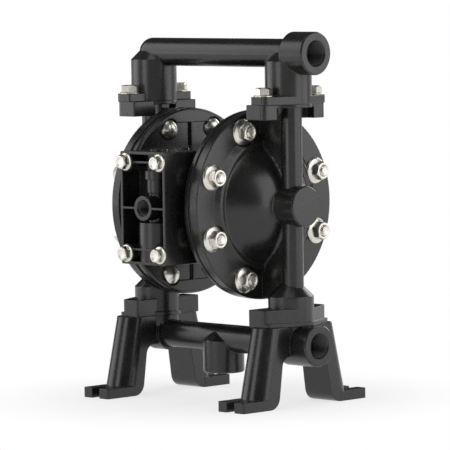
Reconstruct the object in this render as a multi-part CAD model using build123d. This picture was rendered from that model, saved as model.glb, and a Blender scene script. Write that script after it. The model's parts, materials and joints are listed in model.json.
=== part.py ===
from build123d import *
import os
from math import cos, radians, sin

# Air operated double diaphragm pump, half-inch class, with moulded plastic wet parts.
# Millimetres. X runs along the two manifolds and their ports face +X. The air valve
# faces -Y and +Z is up. Sub-parts are drawn about the pump axis, where the diaphragm
# rod runs along X, and save() lifts them so that the origin lies on the floor.

# ---------------------------------------------------------------- driving dimensions
AXIS_HEIGHT = 155.6           # floor to diaphragm rod
RUN = 0.05                    # radial running clearance
FIT = 0.03                    # radial clearance of parts that are pushed together
OVER = 1.0                    # how far a cutting form runs past the face it cuts

# caps, as (x, radius) points where a pair is given
FLANGE_R = 74.5               # clamping flange of both caps
FLANGE_EDGE = 0.8
FLUID_SEAT_X = 39.8           # fluid cap face that clamps the diaphragm
AIR_SEAT_X = 37.4             # air cap face that clamps the diaphragm
FLANGE_X = 47.8               # outer face of the fluid cap flange
AIR_RIM_X = 32.0              # inner face of the air cap flange
AIR_RECESS_X = 34.2           # recessed inner face, where the centre body seats
AIR_RECESS_R = 70.0
AIR_RECESS_Z = 63.0
AIR_EDGE = 2.4
AIR_RIB_HALF = 1.0

CAP_BOLT_R = 62.4             # pitch radius of the cap bolts
CAP_BOLTS = 8
SPOT_R = 11.5                 # round spot faces that scallop the skirt of the dome

SKIRT_R = 56.0                # foot of the ramp round the dome
SKIRT_CREST = (51.1, 50.5)
SKIRT_CREST_FILLET = 4.0
DOME_FOOT = (50.6, 45.6)
DOME_FOOT_FILLET = 5.0
DOME_MID = (61.7, 31.0)
DOME_TOP_X = 71.8             # where the hub leaves the dome
DOME_TOP_FILLET = 2.0
HUB_R = 15.9
HUB_X = 93.4
HUB_EDGE = 0.9

CHAMBER_R = 53.6              # mouth of the fluid chamber
CHAMBER_LIP = (43.6, 48.2)
CHAMBER_MID = (57.0, 29.5)
CHAMBER_TOP = (68.0, 13.0)
HUB_BORE_R = 11.5
HUB_BORE_X = 89.0

RISER_X = 78.1                # vertical tube on the front of each fluid cap
RISER_R = 8.2
RISER_BORE_R = 5.9
RISER_MOUTH = 3.0             # widening of the riser bore under the outlet seat
RISER_MOUTH_X = 76.5
WEB_HALF = 4.0                # rib that ties the riser to the flange
WEB_REACH = 73.5

# ball columns and flange ears
COLUMN_X = 75.3               # axis of the ball columns
COLUMN_R = 18.3
CAGE_R = 13.5                 # ball cavity
TOP_PLANE = 79.4              # cap meets the outlet manifold
BOTTOM_PLANE = -93.0          # cap meets the foot
CAP_COLUMN_R = 18.0
CAP_COLUMN_TOP = -70.5
TOP_PLATE = 2.6               # plate that joins the upper ears of the cap
BOTTOM_PLATE = 3.2            # plate that joins the lower ears of the cap
PLATE_LIP = 1.6               # how far the lower plate stands out of the column

EAR_IN_X = 62.5               # ear blocks that take the flange bolts
EAR_OUT_X = 82.7
EAR_Y0 = 11.5
EAR_END = 34.5
EAR_TIP_X = 79.3              # outer corner of the lower ears
EAR_OPEN_Y = 20.6             # the upper ears are cut back from here to the riser
TOP_EAR = 11.6
BOTTOM_EAR = 13.5
BOTTOM_BOLT_SEAT = 6.0
EAR_CORNER_R = 4.6
EAR_EDGE_R = 1.2
FLANGE_BOLT_X = 75.3
FLANGE_BOLT_Y = 27.5

# manifolds and feet
OUTLET_Z = 118.7              # axis of the outlet tube
OUTLET_TUBE_R = 11.2
OUTLET_ROOF_Z = 112.6         # shoulder of the ball columns
OUTLET_SHOULDER = 10.0
OUTLET_EAR = 6.3
OUTLET_EAR_X = 67.9
OUTLET_BOSS_X = 82.0
OUTLET_END_X = 105.5
OUTLET_BOSS_R = 16.8
OUTLET_CAGE_ROOF = 10.5       # cage roof under the tube axis
TUBE_BORE_R = 7.5

INLET_Z = -108.0              # axis of the inlet tube
INLET_TUBE_R = 11.0
INLET_END_X = 105.8
INLET_BOSS_R = 16.4
INLET_NECK = 7.0              # straight part of the foot's ball column
INLET_NECK_END = 6.0
COLLAR_R = 13.5               # sockets of the feet that take the inlet tube
COLLAR_X = 60.4
SPIGOT = 8.0                  # length of tube inside a socket
RING_GROOVE = 2.3             # groove for the o-ring on each end of the tube
RING_R = 0.9
EDGE = 1.0                    # chamfer on the ends of the bosses

PORT_R = 9.32                 # half-inch pipe thread, minor radius
PORT_MOUTH_R = 10.5
PORT_DEPTH = 16.0
PORT_FLOOR = 3.0

ARCH_X = 76.0                 # arches that carry the feet
ARCH_TOP_Y = 26.8
ARCH_TOP_R = 12.6
ARCH_FOOT_Y = 39.4
ARCH_FOOT_R = 14.4
OPENING_TOP_Z = -116.0
OPENING_TOP_Y = 23.6
OPENING_FOOT_Y = 30.4
OPENING_CORNER_R = 8.0
TOE_R = 10.5
PAD_END_Y = 68.9
PAD_THICK = 8.0
PAD_CORNER_R = 2.0
SLOT_R = 4.3
SLOT_Y = 58.6                 # closed end of the foot slot, centre of its round

DRAIN_R = 16.5                # blind boss under the middle of the inlet tube
DRAIN_Z = -135.0
DRAIN_TOP_Z = -109.5
DRAIN_SHOULDER = 9.0

# check valves
BALL_R = 9.525                # three-quarter inch check balls
BALL_LIFT = 6.0
BALL_REST = 0.4               # clearance of a ball over its seat at rest
SEAT_R = 15.1
SEAT_HEIGHT = 6.0
SEAT_BORE_R = 6.0
SEAT_CONE = 3.0
SEAT_FIT = 0.1
RING_SECTION = 0.95           # radius of the seat o-ring section
CAGE_CLEAR = 0.5
RIB_HALF = 1.2
CAGE_TAPER = 6.0              # cone over the outlet cage
INLET_CAGE_ROOF = 2.0         # inlet cage roof under the top of the column
INLET_RIB_RISE = 7.0

# diaphragm set
DIAPHRAGM_X = 42.5            # air side face of the diaphragm centre
DIAPHRAGM_THICK = 2.0
DIAPHRAGM_RIM = 1.2           # rim stops this far inside the flange
BEND_R = 53.0                 # outer end of the convolution
BEND_MID_R = 44.0
BEND_MID = 3.1                # height of the convolution over the air seat
PLATE_R = 30.0
PLATE_GRIP_R = 34.0           # diaphragm is flat inside this radius
AIR_PLATE_FOOT_R = 14.0
AIR_PLATE_DISH = 1.4
FLUID_PLATE_RIM = 2.2
FLUID_PLATE_SLOPE = (6.4, 18.0)  # height over the diaphragm and radius
FLUID_PLATE_BOSS = (8.8, 9.0)
FLUID_PLATE_HIGH = 9.4
ROD_R = 7.0
ROD_EDGE = 0.8
STUD_R = 4.0
STUD_X = 50.0
ROD_SHOULDER_X = 37.5
PILOT_R = 2.5
PILOT_Z = 24.0
PILOT_X = 33.2

# centre body
BODY_HALF_Z = 44.0
BODY_HALF_Y = 49.5
BODY_CORNER_R = 3.0
BOWL_R = 38.5
BOWL_X = 27.0
EXHAUST_Z = -18.0
EXHAUST_R = 8.6
EXHAUST_PIPE_R = 5.0
EXHAUST_BOSS_R = 14.0
EXHAUST_BOSS = 6.0
PASSAGE_R = 3.0               # drilled air passages
PASSAGE_X = 7.0
PASSAGE_Z = 14.0
PASSAGE_Y = -22.0
CORE_X = (18.5, 30.5)         # cored pockets in the back of the body
CORE_Z = (6.0, 40.0)
CORE_DEPTH = 9.0
CORE_CORNER_R = 2.0
TAP_X = 3.0                   # small blanked tapping on top of the body
TAP_Y = -44.0
TAP_R = 4.2
TAP_HIGH = 1.4
BUSH_R = 9.5                  # rod bushings
BUSH_X0 = 9.0
BUSH_X1 = 21.0
SEAL_X0 = 21.6                # rod seals
SEAL_X1 = 25.4
SEAL_R = 10.4
SEAL_LIP = 0.8
PILOT_SEAL_R = 4.4
PILOT_SEAL_X0 = 19.0
PILOT_SEAL_X1 = 21.0

# valve block and spool
BLOCK_HALF_X = 24.6
BLOCK_FACE_Y = -86.3
BLOCK_EDGE = 1.2
GASKET = 0.8
GASKET_INSET = 0.6
GASKET_INSET_Z = 3.2
BLOCK_WALL = 2.2
RECESS_Y = -67.5              # floor of the recess in the front
RECESS_RIB_HALF = 0.8
RECESS_RIB_Z = (35.8, -32.3)
BARREL_Y = -70.3              # outside of the spool barrel
BARREL_BIG_R = 15.0
BARREL_SMALL_R = 8.6
BARREL_NECK_R = 7.5
BARREL_BIG_Z = -11.5
BARREL_SMALL_Z = 11.5
BARREL_COLLAR_R = 10.2
BARREL_COLLAR_Z = (22.0, 29.0)
SPOOL_Y = -68.3               # bore of the spool barrel
SPOOL_BIG_R = 11.0
SPOOL_SMALL_R = 5.5
SPOOL_STEP_Z = -20.0
SPOOL_STEM_R = 3.6
SPOOL_PISTON = 9.0
SPOOL_GROOVE = (3.0, 5.4)
SPOOL_GROOVE_DEEP = 1.6
SPOOL_LANDS = ((-12.0, -4.0), (5.0, 13.0), (24.0, 33.5))
LOWER_PLUG_R = 12.5
LOWER_PLUG = 4.5
UPPER_PLUG_R = 7.0
UPPER_PLUG = 3.0
PLUG_PROUD = 1.2
PLUG_SOCKET = 2.0
BLOCK_BOLT_X = 18.6
BLOCK_BOLT_Z = 35.8
BLOCK_BOLT_R = 3.0            # M6
BLOCK_BOLT_END = -34.0
BLOCK_BOLT_AF = 10.0
BLOCK_BOLT_HEAD = 6.4
BLOCK_PILLAR_R = 7.4
AIR_BOSS_R = 9.65
AIR_PORT_R = 5.9              # quarter-inch pipe thread, minor radius
AIR_MOUTH_R = 6.85
AIR_PORT_DEPTH = 10.1

# fasteners
BOLT_R = 4.0                  # M8 shanks
BOLT_TIP = 0.7
HOLE_R = 4.3
HEX_AF = 13.0
HEX_CROWN = 1.4               # height over which a hexagon's corners are turned off
NUT_HEIGHT = 6.5
SMALL_HEX_AF = 12.0
SUNK_HEX_AF = 11.0            # nuts and heads that sit in the ears of the caps
HEX_TURN = 30                 # from a hexagon's corner to the middle of its flat
POCKET_PLAY = 0.4
COLLAR_FLANGE_R = 7.8         # collar under a flange bolt's head
BLOCK_COLLAR_R = 6.8
COLLAR_FLANGE = 1.5
HEAD_HEIGHT = 7.0
PLAIN_HEAD = 5.3
OUTLET_BOLT_SHORT = 1.4        # an outlet bolt ends this far inside its nut
CAP_WASHER_R = 10.5
CAP_WASHER = 3.0
CAP_WASHER_EDGE = 0.7
BOLT_PROUD = 1.4              # how far a cap bolt stands out of its nut
DOME_HEAD_R = 8.5
DOME_HEAD = 6.3
HEAD_PLAY = 0.4
INSERT_R = 6.5                # threaded inserts in the tops of the feet
INSERT_DEPTH = 15.0
INSERT_SUNK = 0.2

# exhaust muffler
MUFFLER_R = 14.0
MUFFLER_WALL = 2.6
MUFFLER_END_Y = 104.0
MUFFLER_END_EDGE = 4.0
MUFFLER_HEX_AF = 24.0
MUFFLER_HEX = 8.0
MUFFLER_GAP = 6.2             # hexagon's face over the back of the body
MUFFLER_NIPPLE = 11.0
MUFFLER_BORE_R = 6.0
MUFFLER_SLOTS = 12
MUFFLER_SLOT_HALF = 1.2
MUFFLER_SLOT_ENDS = (5.0, 8.0)
ELEMENT_BORE_R = 7.0

SIDES = (-1, 1)


# ---------------------------------------------------------------- drawing helpers
def rod_x(radius, x0, x1, y=0, z=0):
    """Round bar along X from x0 to x1."""
    return Pos((x0 + x1) / 2, y, z) * Rot(0, 90, 0) * Cylinder(radius, abs(x1 - x0))


def rod_y(radius, y0, y1, x=0, z=0):
    """Round bar along Y from y0 to y1."""
    return Pos(x, (y0 + y1) / 2, z) * Rot(90, 0, 0) * Cylinder(radius, abs(y1 - y0))


def rod_z(radius, z0, z1, x=0, y=0):
    """Round bar along Z from z0 to z1."""
    return Pos(x, y, (z0 + z1) / 2) * Cylinder(radius, abs(z1 - z0))


def block(x, y, z):
    """Box between the two ends given for each axis."""
    middle = Pos((x[0] + x[1]) / 2, (y[0] + y[1]) / 2, (z[0] + z[1]) / 2)
    return middle * Box(abs(x[1] - x[0]), abs(y[1] - y[0]), abs(z[1] - z[0]))


def lathe_x(*points):
    """Turned form about the X axis from (x, radius) points."""
    return revolve(make_face(Polyline(*points, close=True)), Axis.X)


def lathe_z(*points):
    """Turned form about the Z axis from (radius, z) points."""
    return revolve(Plane.XZ * make_face(Polyline(*points, close=True)), Axis.Z)


def soften(solid, ring_radius, size):
    """Fillet the circular edges that have the given radius."""
    rings = solid.edges().filter_by(GeomType.CIRCLE)
    return fillet(rings.filter_by(lambda e: abs(e.radius - ring_radius) < FIT), size)


def hex_prism(across_flats, height):
    """Plain hexagonal prism along Z, standing on z = 0, with corners on its X axis."""
    corner = across_flats / 2 / cos(radians(HEX_TURN))
    return extrude(RegularPolygon(corner, 6), height)


def hexagon(across_flats, height, bore=0.0):
    """Hexagon along Z, standing on z = 0, its corners turned off at the top."""
    corner = across_flats / 2 / cos(radians(HEX_TURN))
    flat = across_flats / 2
    prism = hex_prism(across_flats, height)
    turned = lathe_z((0, 0), (corner + OVER, 0), (corner + OVER, height - HEX_CROWN),
                     (flat - POCKET_PLAY, height), (0, height))
    solid = prism & turned
    if bore:
        solid -= rod_z(bore, -OVER, height + OVER)
    return solid


def along_x(shape):
    """Turn a form drawn along +Z so that it points along +X."""
    return Rot(0, 90, 0) * shape


def other_side(shape):
    """The same part on the -X side: half a turn about the vertical axis."""
    return Rot(0, 0, 180) * shape


def cap_bolt_places():
    """(y, z) of the bolts round a cap."""
    step = 360 / CAP_BOLTS
    angles = [radians(step * (i + 0.5)) for i in range(CAP_BOLTS)]
    return [(CAP_BOLT_R * cos(a), CAP_BOLT_R * sin(a)) for a in angles]


def block_bolt_places():
    """(x, z) of the bolts of the valve block."""
    return [(x * BLOCK_BOLT_X, z * BLOCK_BOLT_Z) for x in SIDES for z in SIDES]


def save(node, *solids):
    """Write one node, lifted from the pump axis to the floor frame."""
    pieces = [piece for solid in solids for piece in solid.solids()]
    shape = pieces[0] if len(pieces) == 1 else Compound(pieces)
    export_step(Pos(0, 0, AXIS_HEIGHT) * shape, f"parts/{node}.step")


# ---------------------------------------------------------------- check valves
def ball_at_rest(plane):
    """Height of a ball's centre just clear of its seat, for a seat that stands on plane."""
    contact = BALL_R * cos(radians(45))
    cone_foot = plane + SEAT_HEIGHT - SEAT_CONE
    return cone_foot + (contact - SEAT_BORE_R) + contact + BALL_REST


def seat(plane):
    """Seat ring with a 45 degree cone for the ball and a corner groove for its o-ring."""
    top = plane + SEAT_HEIGHT
    groove = 2 * RING_SECTION + 2 * RUN
    return lathe_z(
        (SEAT_BORE_R, plane),
        (SEAT_R, plane),
        (SEAT_R, top - groove),
        (SEAT_R - groove, top - groove),
        (SEAT_R - groove, top),
        (SEAT_BORE_R + SEAT_CONE, top),
        (SEAT_BORE_R, top - SEAT_CONE),
    )


def seat_ring(plane):
    """O-ring that seals the seat's outer corner."""
    middle = SEAT_R - RING_SECTION - RUN
    height = plane + SEAT_HEIGHT - RING_SECTION - RUN
    return Pos(0, 0, height) * Torus(middle, RING_SECTION)


def ball_space(plane):
    """Envelope of a ball over its lift, with clearance, down to the seat."""
    radius = BALL_R + CAGE_CLEAR
    top = ball_at_rest(plane) + BALL_LIFT
    return rod_z(radius, plane - OVER, top) + Pos(0, 0, top) * Sphere(radius)


def cage_ribs(cavity, plane, top):
    """Four guide ribs on the cavity wall that also stop the ball at the top."""
    cross = block((-CAGE_R, CAGE_R), (-RIB_HALF, RIB_HALF), (plane + SEAT_HEIGHT, top))
    cross += Rot(0, 0, 90) * cross
    return (cross & cavity) - ball_space(plane)


# ---------------------------------------------------------------- flange plates
def tangent_point(corner, radius):
    """Where a line from the corner touches the ball column's circle on its outer side."""
    reach = Vector(*corner) - Vector(COLUMN_X, 0)
    lean = reach.normalized()
    share = radius / reach.length
    across = (1 - share**2) ** 0.5
    x = COLUMN_X + radius * (lean.X * share - lean.Y * across)
    y = radius * (lean.Y * share + lean.X * across)
    return x, y


def flange_outline(x0, tip_x, radius):
    """Outline of a flange: two square-ended ears whose outer sides run on to a circle."""
    corner = (tip_x, -EAR_END)
    touch = tangent_point(corner, radius)
    return Polyline(
        (x0, -EAR_END),
        corner,
        touch,
        (touch[0], -touch[1]),
        (tip_x, EAR_END),
        (x0, EAR_END),
        close=True,
    )


def flange(z0, z1, x0, tip_x, radius):
    """Flange plate round a ball column between two heights, its outer corners rounded."""
    plate = extrude(Plane.XY.offset(z0) * make_face(flange_outline(x0, tip_x, radius)), z1 - z0)
    plate = fillet(end_corners(plate)[2:], EAR_CORNER_R)
    plate = fillet(end_corners(plate)[:2], EAR_EDGE_R)
    return plate + rod_z(radius, z0, z1, COLUMN_X)


def end_corners(plate):
    """Upright edges at the two ends of a flange, those towards -X first."""
    uprights = plate.edges().filter_by(Axis.Z)
    ends = uprights.filter_by(lambda e: abs(abs(e.center().Y) - EAR_END) < FIT)
    return ends.sort_by(Axis.X)


# ---------------------------------------------------------------- fluid caps
def cap_form():
    """Flange, ramp, softly convex dome and hub of a fluid cap, before it is hollowed."""
    dome_top = (DOME_TOP_X, HUB_R)
    dome = ThreePointArc(DOME_FOOT, DOME_MID, dome_top)
    rest = Polyline(
        dome_top,
        (HUB_X, HUB_R),
        (HUB_X, 0),
        (FLUID_SEAT_X, 0),
        (FLUID_SEAT_X, FLANGE_R),
        (FLANGE_X, FLANGE_R),
        (FLANGE_X, SKIRT_R),
        SKIRT_CREST,
        DOME_FOOT,
    )
    form = revolve(make_face((dome + rest).edges()), Axis.X)
    form = soften(form, SKIRT_CREST[1], SKIRT_CREST_FILLET)
    form = soften(form, DOME_FOOT[1], DOME_FOOT_FILLET)
    hub_rings = form.edges().filter_by(GeomType.CIRCLE).filter_by(lambda e: abs(e.radius - HUB_R) < FIT)
    form = fillet(hub_rings.sort_by(Axis.X)[0], DOME_TOP_FILLET)
    form = chamfer(form.edges().filter_by(GeomType.CIRCLE).sort_by(Axis.X)[-1], HUB_EDGE)
    rim = form.edges().filter_by(GeomType.CIRCLE).filter_by(lambda e: abs(e.radius - FLANGE_R) < FIT)
    form = fillet(rim.sort_by(Axis.X)[-1], FLANGE_EDGE)
    for y, z in cap_bolt_places():
        form -= rod_x(SPOT_R, FLANGE_X, SKIRT_CREST[0] + OVER, y, z)
    return form


def chamber_form():
    """Fluid chamber inside the dome, open into the hub."""
    start = FLUID_SEAT_X - OVER
    side = ThreePointArc(CHAMBER_LIP, CHAMBER_MID, CHAMBER_TOP)
    rest = Polyline(
        CHAMBER_TOP,
        (CHAMBER_TOP[0], 0),
        (start, 0),
        (start, CHAMBER_R),
        (FLUID_SEAT_X, CHAMBER_R),
        CHAMBER_LIP,
    )
    hub_bore = rod_x(HUB_BORE_R, CHAMBER_MID[0], HUB_BORE_X)
    return revolve(make_face((side + rest).edges()), Axis.X) + hub_bore


def upper_ears():
    """Upper ears of a cap: square ends, cut back towards the riser below their plate."""
    z0 = TOP_PLANE - TOP_EAR
    plate_z = TOP_PLANE - TOP_PLATE
    bar = block((EAR_IN_X, EAR_OUT_X), (-EAR_END, EAR_END), (z0, TOP_PLANE))
    bar = fillet(end_corners(bar)[2:], EAR_CORNER_R)
    bar = fillet(end_corners(bar)[:2], EAR_EDGE_R)
    bar -= block((EAR_IN_X - OVER, EAR_OUT_X + OVER), (-EAR_Y0, EAR_Y0), (z0 - OVER, plate_z))
    bar -= block((FLANGE_BOLT_X, EAR_OUT_X + OVER), (-EAR_OPEN_Y, EAR_OPEN_Y), (z0 - OVER, plate_z))
    return bar + rod_z(COLUMN_R, plate_z, TOP_PLANE, COLUMN_X)


def lower_ears():
    """Lower ears of a cap, standing on a plate that shows as a ledge round the column."""
    ears = flange(BOTTOM_PLANE, BOTTOM_PLANE + BOTTOM_EAR, EAR_IN_X, EAR_TIP_X, CAP_COLUMN_R)
    top = BOTTOM_PLANE + BOTTOM_EAR + OVER
    inner = block((EAR_IN_X - OVER, COLUMN_X), (-EAR_Y0, EAR_Y0), (BOTTOM_PLANE, top))
    plate = flange(BOTTOM_PLANE, BOTTOM_PLANE + BOTTOM_PLATE, EAR_IN_X, EAR_OUT_X, CAP_COLUMN_R + PLATE_LIP)
    return ears - inner + plate


def fluid_cap():
    """Right-hand fluid cap with its riser, ball column and flange ears."""
    body = cap_form()
    body += rod_z(RISER_R, CAP_COLUMN_TOP, TOP_PLANE, RISER_X)
    body += block((FLANGE_X - OVER, RISER_X), (-WEB_HALF, WEB_HALF), (-WEB_REACH, WEB_REACH))
    body += block((EAR_IN_X, RISER_X), (-WEB_HALF, WEB_HALF), (WEB_REACH - OVER, TOP_PLANE - OVER))
    cone_top = CAP_COLUMN_TOP + CAP_COLUMN_R - RISER_R
    body += Pos(COLUMN_X, 0, 0) * lathe_z(
        (0, BOTTOM_PLANE),
        (CAP_COLUMN_R, BOTTOM_PLANE),
        (CAP_COLUMN_R, CAP_COLUMN_TOP),
        (RISER_R, cone_top),
        (0, cone_top),
    )
    body += upper_ears()
    body += lower_ears()

    body -= chamber_form()
    body -= rod_z(RISER_BORE_R, CAP_COLUMN_TOP, TOP_PLANE + OVER, RISER_X)
    body -= Pos(RISER_MOUTH_X, 0, 0) * lathe_z(
        (0, TOP_PLANE - RISER_MOUTH),
        (RISER_BORE_R, TOP_PLANE - RISER_MOUTH),
        (RISER_BORE_R + RISER_MOUTH, TOP_PLANE),
        (RISER_BORE_R + RISER_MOUTH, TOP_PLANE + OVER),
        (0, TOP_PLANE + OVER),
    )
    body -= inlet_cavity()
    body += inlet_ribs()

    for y, z in cap_bolt_places():
        body -= rod_x(HOLE_R, FLUID_SEAT_X - OVER, FLANGE_X + OVER, y, z)
    for y in (-FLANGE_BOLT_Y, FLANGE_BOLT_Y):
        body -= rod_z(HOLE_R, BOTTOM_PLANE - OVER, TOP_PLANE + OVER, FLANGE_BOLT_X, y)
        nut_pocket = hex_prism(SUNK_HEX_AF + POCKET_PLAY, NUT_HEIGHT + OVER + POCKET_PLAY)
        body -= Pos(FLANGE_BOLT_X, y, TOP_PLANE - TOP_EAR - OVER) * nut_pocket
        head_pocket = hex_prism(SUNK_HEX_AF + POCKET_PLAY, BOTTOM_EAR)
        body -= Pos(FLANGE_BOLT_X, y, BOTTOM_PLANE + BOTTOM_BOLT_SEAT) * head_pocket
    return body


def inlet_cavity():
    """Ball cavity in the foot of the fluid cap."""
    roof = CAP_COLUMN_TOP - INLET_CAGE_ROOF
    cone_top = roof + CAGE_R - RISER_BORE_R
    cavity = lathe_z(
        (0, BOTTOM_PLANE - OVER),
        (SEAT_R + SEAT_FIT, BOTTOM_PLANE - OVER),
        (SEAT_R + SEAT_FIT, BOTTOM_PLANE + SEAT_HEIGHT),
        (CAGE_R, BOTTOM_PLANE + SEAT_HEIGHT),
        (CAGE_R, roof),
        (RISER_BORE_R, cone_top),
        (0, cone_top),
    )
    return Pos(COLUMN_X, 0, 0) * cavity


def inlet_ribs():
    """Cage ribs of the inlet ball."""
    inner = Pos(-COLUMN_X, 0, 0) * inlet_cavity()
    return Pos(COLUMN_X, 0, 0) * cage_ribs(inner, BOTTOM_PLANE, CAP_COLUMN_TOP + INLET_RIB_RISE)


# ---------------------------------------------------------------- outlet manifold
def port_boss(start_x, root_r, neck_x, radius, end_x):
    """Turned boss of a port along +X, swelling from root_r to its full radius at neck_x."""
    return lathe_x(
        (start_x, 0),
        (start_x, root_r),
        (neck_x, radius),
        (end_x - EDGE, radius),
        (end_x, radius - EDGE),
        (end_x, 0),
    )


def port_cut(end_x, z):
    """Pipe-thread hole with a chamfered mouth, open towards +X."""
    step = PORT_MOUTH_R - PORT_R
    return Pos(0, 0, z) * lathe_x(
        (end_x - PORT_DEPTH - PORT_FLOOR, 0),
        (end_x - PORT_DEPTH, PORT_R),
        (end_x - step, PORT_R),
        (end_x, PORT_MOUTH_R),
        (end_x + OVER, PORT_MOUTH_R),
        (end_x + OVER, 0),
    )


def outlet_cavity():
    """Ball cavity in one column of the outlet manifold, drawn about its own axis."""
    roof = OUTLET_Z - OUTLET_CAGE_ROOF
    return lathe_z(
        (0, TOP_PLANE - OVER),
        (SEAT_R + SEAT_FIT, TOP_PLANE - OVER),
        (SEAT_R + SEAT_FIT, TOP_PLANE + SEAT_HEIGHT),
        (CAGE_R, TOP_PLANE + SEAT_HEIGHT),
        (CAGE_R, roof),
        (CAGE_R - CAGE_TAPER, roof + CAGE_TAPER),
        (CAGE_R - CAGE_TAPER, OUTLET_Z),
        (0, OUTLET_Z),
    )


def outlet_manifold():
    """Outlet tube on two ball columns, closed at -X, with its port at +X."""
    column = lathe_z(
        (0, TOP_PLANE),
        (COLUMN_R, TOP_PLANE),
        (COLUMN_R, OUTLET_ROOF_Z),
        (COLUMN_R - OUTLET_SHOULDER, OUTLET_ROOF_Z + OUTLET_SHOULDER),
        (0, OUTLET_ROOF_Z + OUTLET_SHOULDER),
    )
    body = rod_x(OUTLET_TUBE_R, -COLUMN_X, OUTLET_BOSS_X, z=OUTLET_Z)
    body += Pos(-COLUMN_X, 0, OUTLET_Z) * Sphere(OUTLET_TUBE_R)
    boss = port_boss(COLUMN_X, OUTLET_TUBE_R, OUTLET_BOSS_X, OUTLET_BOSS_R, OUTLET_END_X)
    body += Pos(0, 0, OUTLET_Z) * boss
    ears = flange(TOP_PLANE, TOP_PLANE + OUTLET_EAR, OUTLET_EAR_X, EAR_OUT_X, COLUMN_R)
    for turn in (lambda shape: shape, other_side):
        body += turn(Pos(COLUMN_X, 0, 0) * column)
        body += turn(ears)

    body -= rod_x(TUBE_BORE_R, -COLUMN_X, OUTLET_END_X - PORT_DEPTH, z=OUTLET_Z)
    body -= Pos(-COLUMN_X, 0, OUTLET_Z) * Sphere(TUBE_BORE_R)
    body -= port_cut(OUTLET_END_X, OUTLET_Z)
    ribs = cage_ribs(outlet_cavity(), TOP_PLANE, OUTLET_Z - OUTLET_CAGE_ROOF / 2)
    for x in SIDES:
        body -= Pos(x * COLUMN_X, 0, 0) * outlet_cavity()
        body += Pos(x * COLUMN_X, 0, 0) * ribs
        for y in SIDES:
            body -= rod_z(HOLE_R, TOP_PLANE - OVER, TOP_PLANE + OUTLET_EAR + OVER,
                          x * FLANGE_BOLT_X, y * FLANGE_BOLT_Y)
    return body


# ---------------------------------------------------------------- feet and inlet tube
def arch():
    """Two leaning legs under one ball column, on slotted pads."""
    floor = -AXIS_HEIGHT
    top = Plane.XY.offset(BOTTOM_PLANE) * Rot(0, 0, 90) * SlotCenterToCenter(2 * ARCH_TOP_Y, 2 * ARCH_TOP_R)
    base = Plane.XY.offset(floor) * Rot(0, 0, 90) * SlotCenterToCenter(2 * ARCH_FOOT_Y, 2 * ARCH_FOOT_R)
    body = loft([top, base], ruled=True)

    outline = Polyline(
        (-OPENING_FOOT_Y, floor - OVER),
        (-OPENING_TOP_Y, OPENING_TOP_Z),
        (OPENING_TOP_Y, OPENING_TOP_Z),
        (OPENING_FOOT_Y, floor - OVER),
        close=True,
    )
    opening = extrude(Plane.YZ * make_face(outline), ARCH_FOOT_R + OVER, both=True)
    opening = fillet(opening.edges().filter_by(Axis.X).sort_by(Axis.Z)[-2:], OPENING_CORNER_R)
    body -= opening
    toes = body.edges().filter_by(Axis.X).group_by(Axis.Z)[0].sort_by(lambda e: abs(e.center().Y))[:2]
    body = fillet(toes, TOE_R)

    pad = block((-ARCH_FOOT_R, ARCH_FOOT_R), (ARCH_FOOT_Y, PAD_END_Y), (floor, floor + PAD_THICK))
    pad = fillet(pad.edges().filter_by(Axis.Z).sort_by(Axis.Y)[-2:], PAD_CORNER_R)
    pad -= rod_z(SLOT_R, floor - OVER, floor + PAD_THICK + OVER, 0, SLOT_Y)
    pad -= block((-SLOT_R, SLOT_R), (SLOT_Y, PAD_END_Y + OVER), (floor - OVER, floor + PAD_THICK + OVER))
    return Pos(ARCH_X, 0, 0) * (body + pad + mirror(pad, Plane.XZ))


def foot(port):
    """Right-hand foot with the socket for the inlet tube and, if asked for, the inlet port."""
    body = arch()
    body += Pos(COLUMN_X, 0, 0) * lathe_z(
        (0, BOTTOM_PLANE),
        (CAP_COLUMN_R, BOTTOM_PLANE),
        (CAP_COLUMN_R, BOTTOM_PLANE - INLET_NECK),
        (INLET_TUBE_R, INLET_Z - INLET_NECK_END),
        (0, INLET_Z - INLET_NECK_END),
    )
    body += rod_x(COLLAR_R, COLLAR_X, ARCH_X, z=INLET_Z)
    if port:
        boss = port_boss(COLUMN_X, INLET_BOSS_R, COLUMN_X + EDGE, INLET_BOSS_R, INLET_END_X)
        body += Pos(0, 0, INLET_Z) * boss
        body -= rod_z(CAP_COLUMN_R + PLATE_LIP, BOTTOM_PLANE, BOTTOM_PLANE + BOTTOM_EAR, COLUMN_X)
        above = (BOTTOM_PLANE, BOTTOM_PLANE + BOTTOM_EAR)
        body -= block((COLUMN_X, INLET_END_X), (-EAR_END, EAR_END), above)
        body -= rod_x(TUBE_BORE_R, COLUMN_X, INLET_END_X - PORT_DEPTH, z=INLET_Z)
        body -= port_cut(INLET_END_X, INLET_Z)
    body -= rod_x(TUBE_BORE_R, COLLAR_X, COLUMN_X, z=INLET_Z)
    body -= Pos(COLUMN_X, 0, INLET_Z) * Sphere(TUBE_BORE_R)
    body -= rod_x(INLET_TUBE_R + FIT, COLUMN_X - CAP_COLUMN_R - OVER, COLLAR_X + SPIGOT, z=INLET_Z)
    body -= rod_z(SEAT_BORE_R, INLET_Z, BOTTOM_PLANE + OVER, COLUMN_X)
    for y in (-FLANGE_BOLT_Y, FLANGE_BOLT_Y):
        body -= rod_z(INSERT_R + FIT, BOTTOM_PLANE - INSERT_DEPTH - 2 * OVER, BOTTOM_PLANE + OVER,
                      FLANGE_BOLT_X, y)
    return body


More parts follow.
